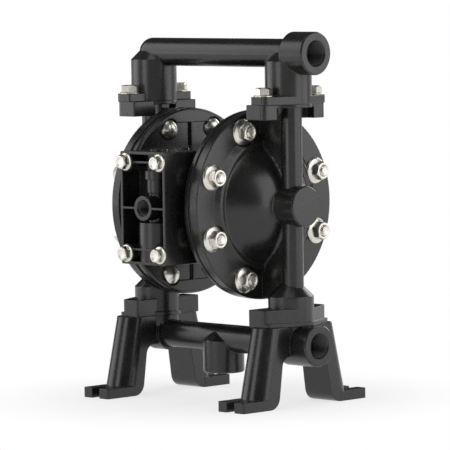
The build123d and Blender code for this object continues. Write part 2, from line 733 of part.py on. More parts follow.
def inlet_tube():
    """Inlet tube with a blind boss under its middle and an o-ring groove at each end."""
    half = COLLAR_X + SPIGOT - 2 * RUN
    body = rod_x(INLET_TUBE_R, -half, half, z=INLET_Z)
    body += lathe_z(
        (0, DRAIN_Z),
        (DRAIN_R - EDGE, DRAIN_Z),
        (DRAIN_R, DRAIN_Z + EDGE),
        (DRAIN_R, DRAIN_TOP_Z),
        (DRAIN_R - DRAIN_SHOULDER, DRAIN_TOP_Z + DRAIN_SHOULDER),
        (0, DRAIN_TOP_Z + DRAIN_SHOULDER),
    )
    body -= rod_x(TUBE_BORE_R, -half - OVER, half + OVER, z=INLET_Z)
    middle = COLLAR_X + SPIGOT / 2
    groove = rod_x(INLET_TUBE_R + OVER, middle - RING_GROOVE / 2, middle + RING_GROOVE / 2, z=INLET_Z)
    groove -= rod_x(INLET_TUBE_R - 2 * RING_R, 0, half, z=INLET_Z)
    return body - groove - other_side(groove)


def tube_ring():
    """O-ring on the right-hand end of the inlet tube."""
    ring = Rot(0, 90, 0) * Torus(INLET_TUBE_R - RING_R, RING_R - FIT)
    return Pos(COLLAR_X + SPIGOT / 2, 0, INLET_Z) * ring


def insert():
    """Threaded insert for one lower flange bolt, drawn under the parting plane."""
    top = BOTTOM_PLANE - INSERT_SUNK
    bore = rod_z(BOLT_R + RUN, top - INSERT_DEPTH - OVER, top + OVER)
    return rod_z(INSERT_R, top - INSERT_DEPTH, top) - bore


# ---------------------------------------------------------------- air section
def air_cap():
    """Right-hand air cap: the ring that clamps the diaphragm to the centre body."""
    body = rod_x(FLANGE_R - POCKET_PLAY, AIR_RIM_X, AIR_SEAT_X)
    body = fillet(body.edges().sort_by(Axis.X)[0], AIR_EDGE)
    recess = rod_x(AIR_RECESS_R, AIR_RIM_X - OVER, AIR_RECESS_X)
    recess &= block((0, AIR_SEAT_X), (-FLANGE_R, FLANGE_R), (-AIR_RECESS_Z, AIR_RECESS_Z))
    body -= recess
    for side in SIDES:
        ends = (side * (BODY_HALF_Z + POCKET_PLAY), side * (AIR_RECESS_Z + OVER))
        body += block((AIR_RIM_X + RUN, AIR_SEAT_X - OVER), (-AIR_RIB_HALF, AIR_RIB_HALF), ends)
    body -= rod_x(BOWL_R, AIR_RIM_X - OVER, AIR_SEAT_X + OVER)
    body -= lathe_x(
        (AIR_SEAT_X + OVER, 0),
        (AIR_SEAT_X + OVER, BEND_R + 4 * OVER),
        (AIR_SEAT_X, BEND_R + 4 * OVER),
        (AIR_SEAT_X - OVER, BEND_R - 3 * OVER),
        (AIR_SEAT_X - OVER, 0),
    )
    for y, z in cap_bolt_places():
        body -= rod_x(HOLE_R, AIR_RIM_X - OVER, AIR_SEAT_X + OVER, y, z)
        body -= rod_x(DOME_HEAD_R + HEAD_PLAY, AIR_RIM_X - OVER, AIR_RECESS_X, y, z)
    return body


def centre_body():
    """Block between the air caps with the rod bore, pilot bore and air passages."""
    half_x = AIR_RECESS_X
    body = block((-half_x, half_x), (-BODY_HALF_Y, BODY_HALF_Y), (-BODY_HALF_Z, BODY_HALF_Z))
    body = fillet(body.edges().filter_by(Axis.X), BODY_CORNER_R)
    body += rod_y(EXHAUST_BOSS_R, BODY_HALF_Y - OVER, BODY_HALF_Y + EXHAUST_BOSS, z=EXHAUST_Z)
    tap = rod_z(TAP_R, BODY_HALF_Z - OVER, BODY_HALF_Z + TAP_HIGH, TAP_X, TAP_Y)
    tap = chamfer(tap.edges(), POCKET_PLAY)
    body += tap - rod_z(TAP_R / 2, BODY_HALF_Z, BODY_HALF_Z + TAP_HIGH + OVER, TAP_X, TAP_Y)
    body -= rod_x(ROD_R + HEAD_PLAY, -BOWL_X - OVER, BOWL_X + OVER)
    body -= rod_x(PILOT_R + RUN, -BOWL_X - OVER, BOWL_X + OVER, z=PILOT_Z)
    body -= rod_y(EXHAUST_PIPE_R, -BODY_HALF_Y - OVER, BODY_HALF_Y, z=EXHAUST_Z)
    body -= rod_y(EXHAUST_R, BODY_HALF_Y - EXHAUST_BOSS, BODY_HALF_Y + EXHAUST_BOSS + OVER, z=EXHAUST_Z)
    for x in SIDES:
        body -= rod_x(BOWL_R, x * BOWL_X, x * (half_x + OVER))
        body -= rod_x(SEAL_R, x * SEAL_X0, x * SEAL_X1)
        body -= rod_x(BUSH_R + FIT, x * BUSH_X0, x * BUSH_X1)
        body -= rod_x(PILOT_SEAL_R + FIT, x * PILOT_SEAL_X0, x * PILOT_SEAL_X1, z=PILOT_Z)
        body -= rod_y(PASSAGE_R, -BODY_HALF_Y - OVER, PASSAGE_Y, x=x * PASSAGE_X, z=PASSAGE_Z)
        body -= rod_x(PASSAGE_R, x * PASSAGE_X, x * (BOWL_X + OVER), y=PASSAGE_Y, z=PASSAGE_Z)
        for z in SIDES:
            core = block((x * CORE_X[0], x * CORE_X[1]), (BODY_HALF_Y - CORE_DEPTH, BODY_HALF_Y + OVER),
                         (z * CORE_Z[0], z * CORE_Z[1]))
            body -= fillet(core.edges().filter_by(Axis.Y), CORE_CORNER_R)
        for y, z in cap_bolt_places():
            ends = (x * (half_x - DOME_HEAD - OVER), x * (half_x + OVER))
            body -= rod_x(DOME_HEAD_R + HEAD_PLAY, *ends, y, z)
    for x, z in block_bolt_places():
        body -= rod_y(BLOCK_BOLT_R + RUN, -BODY_HALF_Y - OVER, BLOCK_BOLT_END - OVER, x, z)
    return body


def bushing():
    """Plain bushing for the diaphragm rod."""
    return rod_x(BUSH_R, BUSH_X0 + 2 * RUN, BUSH_X1 - 2 * RUN) - rod_x(ROD_R + RUN, 0, BUSH_X1)


def rod_seal():
    """Lip seal for the diaphragm rod."""
    x0 = SEAL_X0 + 4 * RUN
    x1 = SEAL_X1 - 4 * RUN
    return lathe_x(
        (x0, ROD_R + RUN),
        (x1, ROD_R + RUN),
        (x1, SEAL_R - SEAL_LIP),
        (x1 - SEAL_LIP, SEAL_R - 2 * RUN),
        (x0 + SEAL_LIP, SEAL_R - 2 * RUN),
        (x0, SEAL_R - SEAL_LIP),
    )


def pilot_seal():
    """Ring seal for the pilot rod."""
    ring = rod_x(PILOT_SEAL_R, PILOT_SEAL_X0 + 2 * RUN, PILOT_SEAL_X1 - 2 * RUN, z=PILOT_Z)
    return ring - rod_x(PILOT_R + RUN, 0, PILOT_SEAL_X1, z=PILOT_Z)


def barrel():
    """What stands in the recess of the valve block: barrel, inlet boss, ribs and pillars."""
    stands = rod_z(BARREL_BIG_R, -BODY_HALF_Z, BARREL_BIG_Z, 0, BARREL_Y)
    stands += rod_z(BARREL_SMALL_R, BARREL_SMALL_Z, BODY_HALF_Z, 0, BARREL_Y)
    stands += rod_z(BARREL_NECK_R, BARREL_BIG_Z, BARREL_SMALL_Z, 0, BARREL_Y)
    stands += rod_z(BARREL_COLLAR_R, *BARREL_COLLAR_Z, 0, BARREL_Y)
    stands += rod_y(AIR_BOSS_R, BLOCK_FACE_Y, RECESS_Y)
    depth = (BLOCK_FACE_Y, RECESS_Y)
    for z in (0, *RECESS_RIB_Z):
        reach = BLOCK_BOLT_X if z else BLOCK_HALF_X
        stands += block((-reach, reach), depth, (z - RECESS_RIB_HALF, z + RECESS_RIB_HALF))
    for x, z in block_bolt_places():
        stands += rod_y(BLOCK_PILLAR_R, BLOCK_FACE_Y, RECESS_Y, x, z)
    return stands


def valve_block():
    """Air valve block: walls round a recess that shows the stepped spool barrel."""
    back = -BODY_HALF_Y - GASKET
    body = block((-BLOCK_HALF_X, BLOCK_HALF_X), (BLOCK_FACE_Y, back), (-BODY_HALF_Z, BODY_HALF_Z))
    body = fillet(body.edges().filter_by(Axis.Y), BLOCK_EDGE)
    recess = block(
        (-BLOCK_HALF_X + BLOCK_WALL, BLOCK_HALF_X - BLOCK_WALL),
        (BLOCK_FACE_Y - OVER, RECESS_Y),
        (-BODY_HALF_Z + BLOCK_WALL, BODY_HALF_Z - BLOCK_WALL),
    )
    body -= recess - barrel()

    body -= rod_z(SPOOL_BIG_R, -BODY_HALF_Z - OVER, SPOOL_STEP_Z, 0, SPOOL_Y)
    body -= rod_z(SPOOL_SMALL_R, -BODY_HALF_Z, BODY_HALF_Z + OVER, 0, SPOOL_Y)
    body -= rod_z(LOWER_PLUG_R + FIT, -BODY_HALF_Z - OVER, -BODY_HALF_Z + LOWER_PLUG, 0, SPOOL_Y)
    body -= rod_z(UPPER_PLUG_R + FIT, BODY_HALF_Z - UPPER_PLUG, BODY_HALF_Z + OVER, 0, SPOOL_Y)
    body -= air_port()
    body -= rod_y(EXHAUST_PIPE_R, SPOOL_Y, back + OVER, z=EXHAUST_Z)
    for x in SIDES:
        body -= rod_y(PASSAGE_R, SPOOL_Y, back + OVER, x=x * PASSAGE_X, z=PASSAGE_Z)
    for x, z in block_bolt_places():
        body -= rod_y(HOLE_R - OVER, BLOCK_FACE_Y - OVER, back + OVER, x, z)
    return body


def air_port():
    """Threaded air inlet with a chamfered mouth, drilled on into the spool bore."""
    face = -BLOCK_FACE_Y
    port_end = face - AIR_PORT_DEPTH
    mouth = AIR_MOUTH_R - AIR_PORT_R
    return Rot(90, 0, 0) * lathe_z(
        (0, -SPOOL_Y),
        (PASSAGE_R, -SPOOL_Y),
        (PASSAGE_R, port_end),
        (AIR_PORT_R, port_end),
        (AIR_PORT_R, face - mouth),
        (AIR_MOUTH_R, face),
        (AIR_MOUTH_R, face + OVER),
        (0, face + OVER),
    )


def gasket():
    """Flat gasket behind the valve block."""
    back = -BODY_HALF_Y
    sheet = block(
        (-BLOCK_HALF_X + GASKET_INSET, BLOCK_HALF_X - GASKET_INSET),
        (back - GASKET, back),
        (-BODY_HALF_Z + GASKET_INSET_Z, BODY_HALF_Z - GASKET_INSET_Z),
    )
    sheet -= rod_y(EXHAUST_PIPE_R + OVER, back - 2 * OVER, back + OVER, z=EXHAUST_Z)
    for x in SIDES:
        sheet -= rod_y(PASSAGE_R + OVER, back - 2 * OVER, back + OVER, x=x * PASSAGE_X, z=PASSAGE_Z)
    for x, z in block_bolt_places():
        sheet -= rod_y(BLOCK_BOLT_R + POCKET_PLAY, back - 2 * OVER, back + OVER, x, z)
    return sheet


def spool_foot():
    """Height of the spool's lower end at the bottom of its travel."""
    return -BODY_HALF_Z + LOWER_PLUG + OVER


def spool():
    """Differential spool at the bottom of its travel."""
    z0 = spool_foot()
    big = SPOOL_BIG_R - RUN
    land = SPOOL_SMALL_R - RUN
    profile = [
        (0, z0),
        (big, z0),
        (big, z0 + SPOOL_GROOVE[0]),
        (big - SPOOL_GROOVE_DEEP, z0 + SPOOL_GROOVE[0]),
        (big - SPOOL_GROOVE_DEEP, z0 + SPOOL_GROOVE[1]),
        (big, z0 + SPOOL_GROOVE[1]),
        (big, z0 + SPOOL_PISTON),
        (SPOOL_STEM_R, z0 + SPOOL_PISTON),
    ]
    for low, high in SPOOL_LANDS:
        profile += [(SPOOL_STEM_R, low), (land, low), (land, high), (SPOOL_STEM_R, high)]
    profile.append((0, SPOOL_LANDS[-1][1]))
    return Pos(0, SPOOL_Y, 0) * lathe_z(*profile)


def spool_seal():
    """Ring seal in the groove of the spool's large piston."""
    big = SPOOL_BIG_R - RUN
    low = spool_foot() + SPOOL_GROOVE[0] + 2 * RUN
    high = spool_foot() + SPOOL_GROOVE[1] - 2 * RUN
    bore = rod_z(big - SPOOL_GROOVE_DEEP + RUN, low - OVER, high + OVER, 0, SPOOL_Y)
    return rod_z(big, low, high, 0, SPOOL_Y) - bore


def lower_plug():
    """Plug that closes the large end of the spool bore."""
    z0 = -BODY_HALF_Z
    plug = rod_z(LOWER_PLUG_R, z0, z0 + LOWER_PLUG, 0, SPOOL_Y)
    return plug - rod_z(LOWER_PLUG_R / 2, z0 - OVER, z0 + PLUG_SOCKET, 0, SPOOL_Y)


def upper_plug():
    """Plug that closes the small end of the spool bore."""
    plug = rod_z(UPPER_PLUG_R, BODY_HALF_Z - UPPER_PLUG, BODY_HALF_Z + PLUG_PROUD, 0, SPOOL_Y)
    return plug - rod_z(UPPER_PLUG_R / 2, BODY_HALF_Z, BODY_HALF_Z + PLUG_SOCKET, 0, SPOOL_Y)


# ---------------------------------------------------------------- diaphragm set
def diaphragm():
    """Rubber diaphragm: bolted rim, one shallow convolution and a clamped centre."""
    x0 = DIAPHRAGM_X
    x1 = DIAPHRAGM_X + DIAPHRAGM_THICK
    rim = FLANGE_R - DIAPHRAGM_RIM
    eye = STUD_R + RUN
    inner = ThreePointArc((AIR_SEAT_X, BEND_R), (AIR_SEAT_X + BEND_MID, BEND_MID_R), (x0, PLATE_GRIP_R))
    outer = ThreePointArc((x1, PLATE_GRIP_R), (FLUID_SEAT_X + BEND_MID, BEND_MID_R), (FLUID_SEAT_X, BEND_R))
    edge = Polyline((AIR_SEAT_X, BEND_R), (AIR_SEAT_X, rim), (FLUID_SEAT_X, rim), (FLUID_SEAT_X, BEND_R))
    centre = Polyline((x0, PLATE_GRIP_R), (x0, eye), (x1, eye), (x1, PLATE_GRIP_R))
    sheet = revolve(make_face((inner + outer + edge + centre).edges()), Axis.X)
    for y, z in cap_bolt_places():
        sheet -= rod_x(HOLE_R, AIR_SEAT_X - OVER, FLUID_SEAT_X + OVER, y, z)
    return sheet


def air_plate():
    """Metal plate on the air side of the diaphragm."""
    x0 = ROD_SHOULDER_X
    return lathe_x(
        (x0, STUD_R + RUN),
        (x0, AIR_PLATE_FOOT_R),
        (x0 + AIR_PLATE_DISH, PLATE_R - OVER),
        (x0 + AIR_PLATE_DISH + OVER, PLATE_R),
        (DIAPHRAGM_X - ROD_EDGE, PLATE_R),
        (DIAPHRAGM_X, PLATE_R - ROD_EDGE),
        (DIAPHRAGM_X, STUD_R + RUN),
    )


def fluid_plate():
    """Moulded plate on the fluid side, screwed on the end of the rod."""
    x0 = DIAPHRAGM_X + DIAPHRAGM_THICK
    rim = PLATE_R - OVER
    plate = lathe_x(
        (x0, 0),
        (x0, rim - ROD_EDGE),
        (x0 + ROD_EDGE, rim),
        (x0 + FLUID_PLATE_RIM, rim),
        (x0 + FLUID_PLATE_SLOPE[0], FLUID_PLATE_SLOPE[1]),
        (x0 + FLUID_PLATE_BOSS[0], FLUID_PLATE_BOSS[1]),
        (x0 + FLUID_PLATE_HIGH, 0),
    )
    return plate - rod_x(STUD_R + RUN, x0 - OVER, STUD_X + POCKET_PLAY)


def diaphragm_rod():
    """Rod that joins the two diaphragms."""
    half = lathe_x(
        (0, 0),
        (0, ROD_R),
        (ROD_SHOULDER_X - ROD_EDGE, ROD_R),
        (ROD_SHOULDER_X, ROD_R - ROD_EDGE),
        (ROD_SHOULDER_X, STUD_R),
        (STUD_X - ROD_EDGE, STUD_R),
        (STUD_X, STUD_R - ROD_EDGE),
        (STUD_X, 0),
    )
    return half + other_side(half)


def pilot_rod():
    """Rod that the diaphragm plates push across at each end of the stroke."""
    rod = rod_x(PILOT_R, -PILOT_X, PILOT_X, z=PILOT_Z)
    return chamfer(rod.edges().filter_by(GeomType.CIRCLE), ROD_EDGE)


# ---------------------------------------------------------------- fasteners
def cap_washer():
    """Dished washer under a cap nut, drawn along +Z from the flange face."""
    bore = BOLT_R + 4 * RUN
    return lathe_z(
        (bore, 0),
        (CAP_WASHER_R, 0),
        (CAP_WASHER_R, CAP_WASHER_EDGE),
        (CAP_WASHER_R - 2 * CAP_WASHER_EDGE, CAP_WASHER - 2 * CAP_WASHER_EDGE),
        (HEX_AF / 2 + CAP_WASHER_EDGE, CAP_WASHER),
        (bore, CAP_WASHER),
    )


def cap_bolt():
    """Round-headed bolt through both caps, drawn along +Z from the head's seat."""
    length = FLANGE_X + CAP_WASHER + NUT_HEIGHT + BOLT_PROUD - AIR_RECESS_X
    shank = chamfer(rod_z(BOLT_R, 0, length).edges().sort_by(Axis.Z)[-1], BOLT_TIP)
    ball = (DOME_HEAD_R**2 + DOME_HEAD**2) / (2 * DOME_HEAD)
    head = Pos(0, 0, ball - DOME_HEAD) * Sphere(ball)
    return shank + (head & rod_z(DOME_HEAD_R, -DOME_HEAD - OVER, 0))


def flange_bolt(radius, length, across_flats, head, collar_radius):
    """Hexagon flange bolt with its head above z = 0 and its shank below."""
    collar = lathe_z(
        (0, 0),
        (collar_radius, 0),
        (collar_radius, COLLAR_FLANGE / 2),
        (collar_radius - COLLAR_FLANGE, COLLAR_FLANGE),
        (0, COLLAR_FLANGE),
    )
    shank = chamfer(rod_z(radius, -length, COLLAR_FLANGE).edges().sort_by(Axis.Z)[0], BOLT_TIP)
    return collar + Pos(0, 0, OVER) * hexagon(across_flats, head - OVER) + shank


def hex_bolt(radius, length):
    """Plain hexagon bolt, head above z = 0."""
    shank = chamfer(rod_z(radius, -length, OVER).edges().sort_by(Axis.Z)[0], BOLT_TIP)
    return hexagon(SUNK_HEX_AF, PLAIN_HEAD) + shank


def around_cap(shape, x):
    """One copy of a fastener drawn along +Z at each cap bolt, its foot at x."""
    return [Pos(x, y, z) * along_x(shape) for y, z in cap_bolt_places()]


def at_flange_bolts(shape, z):
    """One copy of a fastener at each of the four flange bolts, at height z."""
    return [Pos(x * FLANGE_BOLT_X, y * FLANGE_BOLT_Y, z) * shape for x in SIDES for y in SIDES]


# ---------------------------------------------------------------- exhaust muffler
def muffler_body():
    """Slotted muffler housing with its hexagon and threaded nipple."""
    y0 = BODY_HALF_Y + MUFFLER_GAP
    y1 = y0 + MUFFLER_HEX
    solid = lathe_z(
        (0, y1 - OVER),
        (MUFFLER_R, y1 - OVER),
        (MUFFLER_R, MUFFLER_END_Y - MUFFLER_END_EDGE),
        (MUFFLER_R - MUFFLER_END_EDGE, MUFFLER_END_Y),
        (0, MUFFLER_END_Y),
    )
    solid += Pos(0, 0, y0) * hexagon(MUFFLER_HEX_AF, y1 - y0)
    solid += rod_z(EXHAUST_R - RUN, y0 - MUFFLER_NIPPLE, y0 + OVER)
    solid -= rod_z(MUFFLER_BORE_R, y0 - MUFFLER_NIPPLE - OVER, y1 + 2 * OVER)
    solid -= rod_z(MUFFLER_R - MUFFLER_WALL, y1 + OVER, MUFFLER_END_Y - MUFFLER_WALL)
    for i in range(MUFFLER_SLOTS):
        slot = block(
            (MUFFLER_R - MUFFLER_WALL - OVER, MUFFLER_R + OVER),
            (-MUFFLER_SLOT_HALF, MUFFLER_SLOT_HALF),
            (y1 + MUFFLER_SLOT_ENDS[0], MUFFLER_END_Y - MUFFLER_SLOT_ENDS[1]),
        )
        solid -= Rot(0, 0, 360 / MUFFLER_SLOTS * i) * slot
    return Pos(0, 0, EXHAUST_Z) * Rot(-90, 0, 0) * solid


def muffler_element():
    """Porous tube inside the muffler."""
    y0 = BODY_HALF_Y + MUFFLER_GAP + MUFFLER_HEX + OVER + 2 * RUN
    y1 = MUFFLER_END_Y - MUFFLER_WALL - 2 * RUN
    tube = rod_z(MUFFLER_R - MUFFLER_WALL - 4 * RUN, y0, y1)
    tube -= rod_z(ELEMENT_BORE_R, y0 - OVER, y1 - MUFFLER_WALL)
    return Pos(0, 0, EXHAUST_Z) * Rot(-90, 0, 0) * tube


# ---------------------------------------------------------------- the nodes
os.makedirs("parts", exist_ok=True)

save("centre_body", centre_body())
save("valve_block", valve_block())
save("valve_gasket", gasket())
save("spool", spool())
save("spool_seal", spool_seal())
save("lower_spool_plug", lower_plug())
save("upper_spool_plug", upper_plug())
save("outlet_manifold", outlet_manifold())
save("right_foot", foot(port=True))
save("left_foot", other_side(foot(port=False)))
save("inlet_tube", inlet_tube())
save("tube_rings", tube_ring(), other_side(tube_ring()))
save("diaphragm_rod", diaphragm_rod())
save("pilot_rod", pilot_rod())
save("rod_bushings", bushing(), other_side(bushing()))
save("rod_seals", rod_seal(), other_side(rod_seal()))
save("pilot_seals", pilot_seal(), mirror(pilot_seal(), Plane.YZ))
save("muffler_body", muffler_body())
save("muffler_element", muffler_element())

for name, place in {"right": lambda shape: shape, "left": other_side}.items():
    save(f"{name}_fluid_cap", place(fluid_cap()))
    save(f"{name}_air_cap", place(air_cap()))
    save(f"{name}_diaphragm", place(diaphragm()))
    save(f"{name}_air_plate", place(air_plate()))
    save(f"{name}_fluid_plate", place(fluid_plate()))
    for level, plane in (("inlet", BOTTOM_PLANE), ("outlet", TOP_PLANE)):
        save(f"{name}_{level}_ball", place(Pos(COLUMN_X, 0, ball_at_rest(plane)) * Sphere(BALL_R)))
        save(f"{name}_{level}_seat", place(Pos(COLUMN_X, 0, 0) * seat(plane)))
        save(f"{name}_{level}_seat_ring", place(Pos(COLUMN_X, 0, 0) * seat_ring(plane)))
    nut = hexagon(HEX_AF, NUT_HEIGHT, BOLT_R + RUN)
    save(f"{name}_cap_bolts", *[place(s) for s in around_cap(cap_bolt(), AIR_RECESS_X)])
    save(f"{name}_cap_washers", *[place(s) for s in around_cap(cap_washer(), FLANGE_X)])
    save(f"{name}_cap_nuts", *[place(s) for s in around_cap(nut, FLANGE_X + CAP_WASHER)])

outlet_bolt_length = OUTLET_EAR + TOP_EAR - OUTLET_BOLT_SHORT
outlet_bolt = flange_bolt(BOLT_R, outlet_bolt_length, SMALL_HEX_AF, HEAD_HEIGHT, COLLAR_FLANGE_R)
save("outlet_flange_bolts", *at_flange_bolts(outlet_bolt, TOP_PLANE + OUTLET_EAR))
outlet_nut = hexagon(SUNK_HEX_AF, NUT_HEIGHT, BOLT_R + RUN)
save("outlet_flange_nuts", *at_flange_bolts(outlet_nut, TOP_PLANE - TOP_EAR + 4 * RUN))
inlet_bolt = hex_bolt(BOLT_R, BOTTOM_BOLT_SEAT + INSERT_DEPTH)
save("inlet_flange_bolts", *at_flange_bolts(inlet_bolt, BOTTOM_PLANE + BOTTOM_BOLT_SEAT))
save("inlet_flange_inserts", *at_flange_bolts(insert(), 0))

block_bolt_length = BLOCK_BOLT_END - BLOCK_FACE_Y - 2 * OVER
block_bolt = Rot(90, 0, 0) * flange_bolt(
    BLOCK_BOLT_R, block_bolt_length, BLOCK_BOLT_AF, BLOCK_BOLT_HEAD, BLOCK_COLLAR_R
)
save("valve_block_bolts", *[Pos(x, BLOCK_FACE_Y, z) * block_bolt for x, z in block_bolt_places()])
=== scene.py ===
"""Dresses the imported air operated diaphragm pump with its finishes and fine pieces.

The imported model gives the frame: metres, +Z up, the floor at z = 0 under the middle of
the pump, the two fluid ports facing +X and the air valve facing -Y. Moulded parts keep
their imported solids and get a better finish. Threads, the bright hardware and a rounder skin
over each dome are made here as surfaces worked out with numpy.
"""

import json
import logging
import math
from dataclasses import dataclass, field
from enum import Enum
from typing import Sequence

import bpy
import numpy as np
from mathutils import Matrix, Vector

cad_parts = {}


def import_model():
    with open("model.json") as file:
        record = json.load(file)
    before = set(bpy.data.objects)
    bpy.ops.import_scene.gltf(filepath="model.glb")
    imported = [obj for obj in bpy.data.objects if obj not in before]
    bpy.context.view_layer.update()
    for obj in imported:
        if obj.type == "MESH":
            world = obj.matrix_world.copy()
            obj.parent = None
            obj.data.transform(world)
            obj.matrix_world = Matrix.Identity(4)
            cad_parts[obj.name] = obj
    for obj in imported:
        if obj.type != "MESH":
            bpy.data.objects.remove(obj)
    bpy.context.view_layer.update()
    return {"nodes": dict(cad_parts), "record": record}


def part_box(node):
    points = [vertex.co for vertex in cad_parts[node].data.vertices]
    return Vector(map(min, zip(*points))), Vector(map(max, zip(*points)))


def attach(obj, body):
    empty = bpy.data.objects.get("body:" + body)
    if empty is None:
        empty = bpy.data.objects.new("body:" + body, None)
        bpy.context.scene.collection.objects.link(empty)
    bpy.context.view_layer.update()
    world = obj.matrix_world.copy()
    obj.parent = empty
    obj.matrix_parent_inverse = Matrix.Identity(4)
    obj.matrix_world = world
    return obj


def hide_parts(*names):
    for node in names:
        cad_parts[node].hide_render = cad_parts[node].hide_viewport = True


LOG = logging.getLogger("pump")
MM = 0.001


class Slot(Enum):
    """Material slots of the record."""

    HOUSING = "housing"
    FASTENERS = "fasteners"
    INSERTS = "inserts"
    RUBBER = "rubber"
    PLATES = "plates"
    WHITE = "white_plastic"
    SPOOL = "spool_plastic"
    MUFFLER = "muffler_plastic"
    POROUS = "porous"


# ------------------------------------------------------------------ shader maths
class Field:
    """A node socket that can be used in Python expressions."""

    def __init__(self, graph: "Graph", socket: bpy.types.NodeSocket) -> None:
        """Wraps one output socket of a graph."""
        self.graph = graph
        self.socket = socket

    def _math(self, operation: str, *values: object) -> "Field":
        """Adds a Math node.

        Args:
            operation: The Math node's operation.
            *values: Fields or numbers, in the order of its inputs.

        Returns:
            The node's result.
        """
        return self.graph.node("ShaderNodeMath", {"operation": operation}, dict(enumerate(values)))

    def __add__(self, other: object) -> "Field":
        """Sum."""
        return self._math("ADD", self, other)

    def __radd__(self, other: object) -> "Field":
        """Sum with a number on the left."""
        return self._math("ADD", other, self)

    def __sub__(self, other: object) -> "Field":
        """Difference."""
        return self._math("SUBTRACT", self, other)

    def __rsub__(self, other: object) -> "Field":
        """Difference from a number on the left."""
        return self._math("SUBTRACT", other, self)

    def __mul__(self, other: object) -> "Field":
        """Product."""
        return self._math("MULTIPLY", self, other)

    def __rmul__(self, other: object) -> "Field":
        """Product with a number on the left."""
        return self._math("MULTIPLY", other, self)

    def ramp(self, low: float, high: float) -> "Field":
        """Smooth step.

        Args:
            low: The value that gives 0.
            high: The value that gives 1.

        Returns:
            The stepped value.
        """
        settings = {"interpolation_type": "SMOOTHSTEP"}
        inputs = {"Value": self, "From Min": low, "From Max": high}
        return self.graph.node("ShaderNodeMapRange", settings, inputs)


class Graph:
    """The node tree of one material."""

    def __init__(self, name: str) -> None:
        """Makes a material with an empty tree and an output."""
        self.material = bpy.data.materials.new(name)
        self.material.use_nodes = True
        self.tree = self.material.node_tree
        self.tree.nodes.clear()
        self.output = self.tree.nodes.new("ShaderNodeOutputMaterial")

    def node(
        self,
        kind: str,
        settings: dict[str, object],
        inputs: dict[object, object],
        out: object = 0,
    ) -> Field:
        """Adds one node.

        Args:
            kind: The node's type.
            settings: Its properties, set before its inputs.
            inputs: Values or fields by input name or number.
            out: Name or number of the output to return.

        Returns:
            The chosen output.
        """
        made = self.tree.nodes.new(kind)
        for key, value in settings.items():
            setattr(made, key, value)
        for key, value in inputs.items():
            if isinstance(value, Field):
                self.tree.links.new(value.socket, made.inputs[key])
            else:
                made.inputs[key].default_value = value
        return Field(self, made.outputs[out])

    def place(self, scale: Sequence[float] = (1.0, 1.0, 1.0)) -> Field:
        """Object coordinates stretched by a scale along each axis."""
        coords = self.node("ShaderNodeTexCoord", {}, {}, "Object")
        return self.node("ShaderNodeMapping", {}, {"Vector": coords, "Scale": tuple(scale)})

    def noise(
        self,
        size: float,
        detail: float = 2.0,
        stretch: Sequence[float] = (1.0, 1.0, 1.0),
    ) -> Field:
        """Noise of a given grain.

        Args:
            size: Size of the grain in metres.
            detail: Octaves of finer grain.
            stretch: Factor on the coordinate along each axis.

        Returns:
            Values about one half.
        """
        inputs = {"Vector": self.place(stretch), "Scale": 1.0 / size, "Detail": detail}
        return self.node("ShaderNodeTexNoise", {}, inputs)

    def mix(self, factor: object, first: object, second: object) -> Field:
        """Colour mix."""
        made = self.tree.nodes.new("ShaderNodeMix")
        made.data_type = "RGBA"
        for number, value in zip((0, 6, 7), (factor, first, second)):
            socket = made.inputs[number]
            if isinstance(value, Field):
                self.tree.links.new(value.socket, socket)
            else:
                socket.default_value = value
        return Field(self, made.outputs[2])

    def bump(self, height: Field, depth: float, edge: float = 0.0) -> Field:
        """Normal from a height.

        Args:
            height: Height between 0 and 1.
            depth: Depth in metres of a full step.
            edge: Radius in metres by which corners are rounded off first.

        Returns:
            The normal.
        """
        inputs: dict[object, object] = {"Height": height, "Distance": depth, "Strength": 1.0}
        if edge:
            inputs["Normal"] = self.node("ShaderNodeBevel", {"samples": 6}, {"Radius": edge})
        return self.node("ShaderNodeBump", {}, inputs)

    def principled(self, **inputs: object) -> bpy.types.Material:
        """Closes the tree with a Principled shader; an input's spaces are written as underscores."""
        named = {key.replace("_", " "): value for key, value in inputs.items()}
        surface = self.node("ShaderNodeBsdfPrincipled", {}, named)
        self.tree.links.new(surface.socket, self.output.inputs[0])
        return self.material


def grey(value: float, tint: Sequence[float] = (1.0, 1.0, 1.0)) -> tuple[float, float, float, float]:
    """A grey of the given value with a tint."""
    return (value * tint[0], value * tint[1], value * tint[2], 1.0)


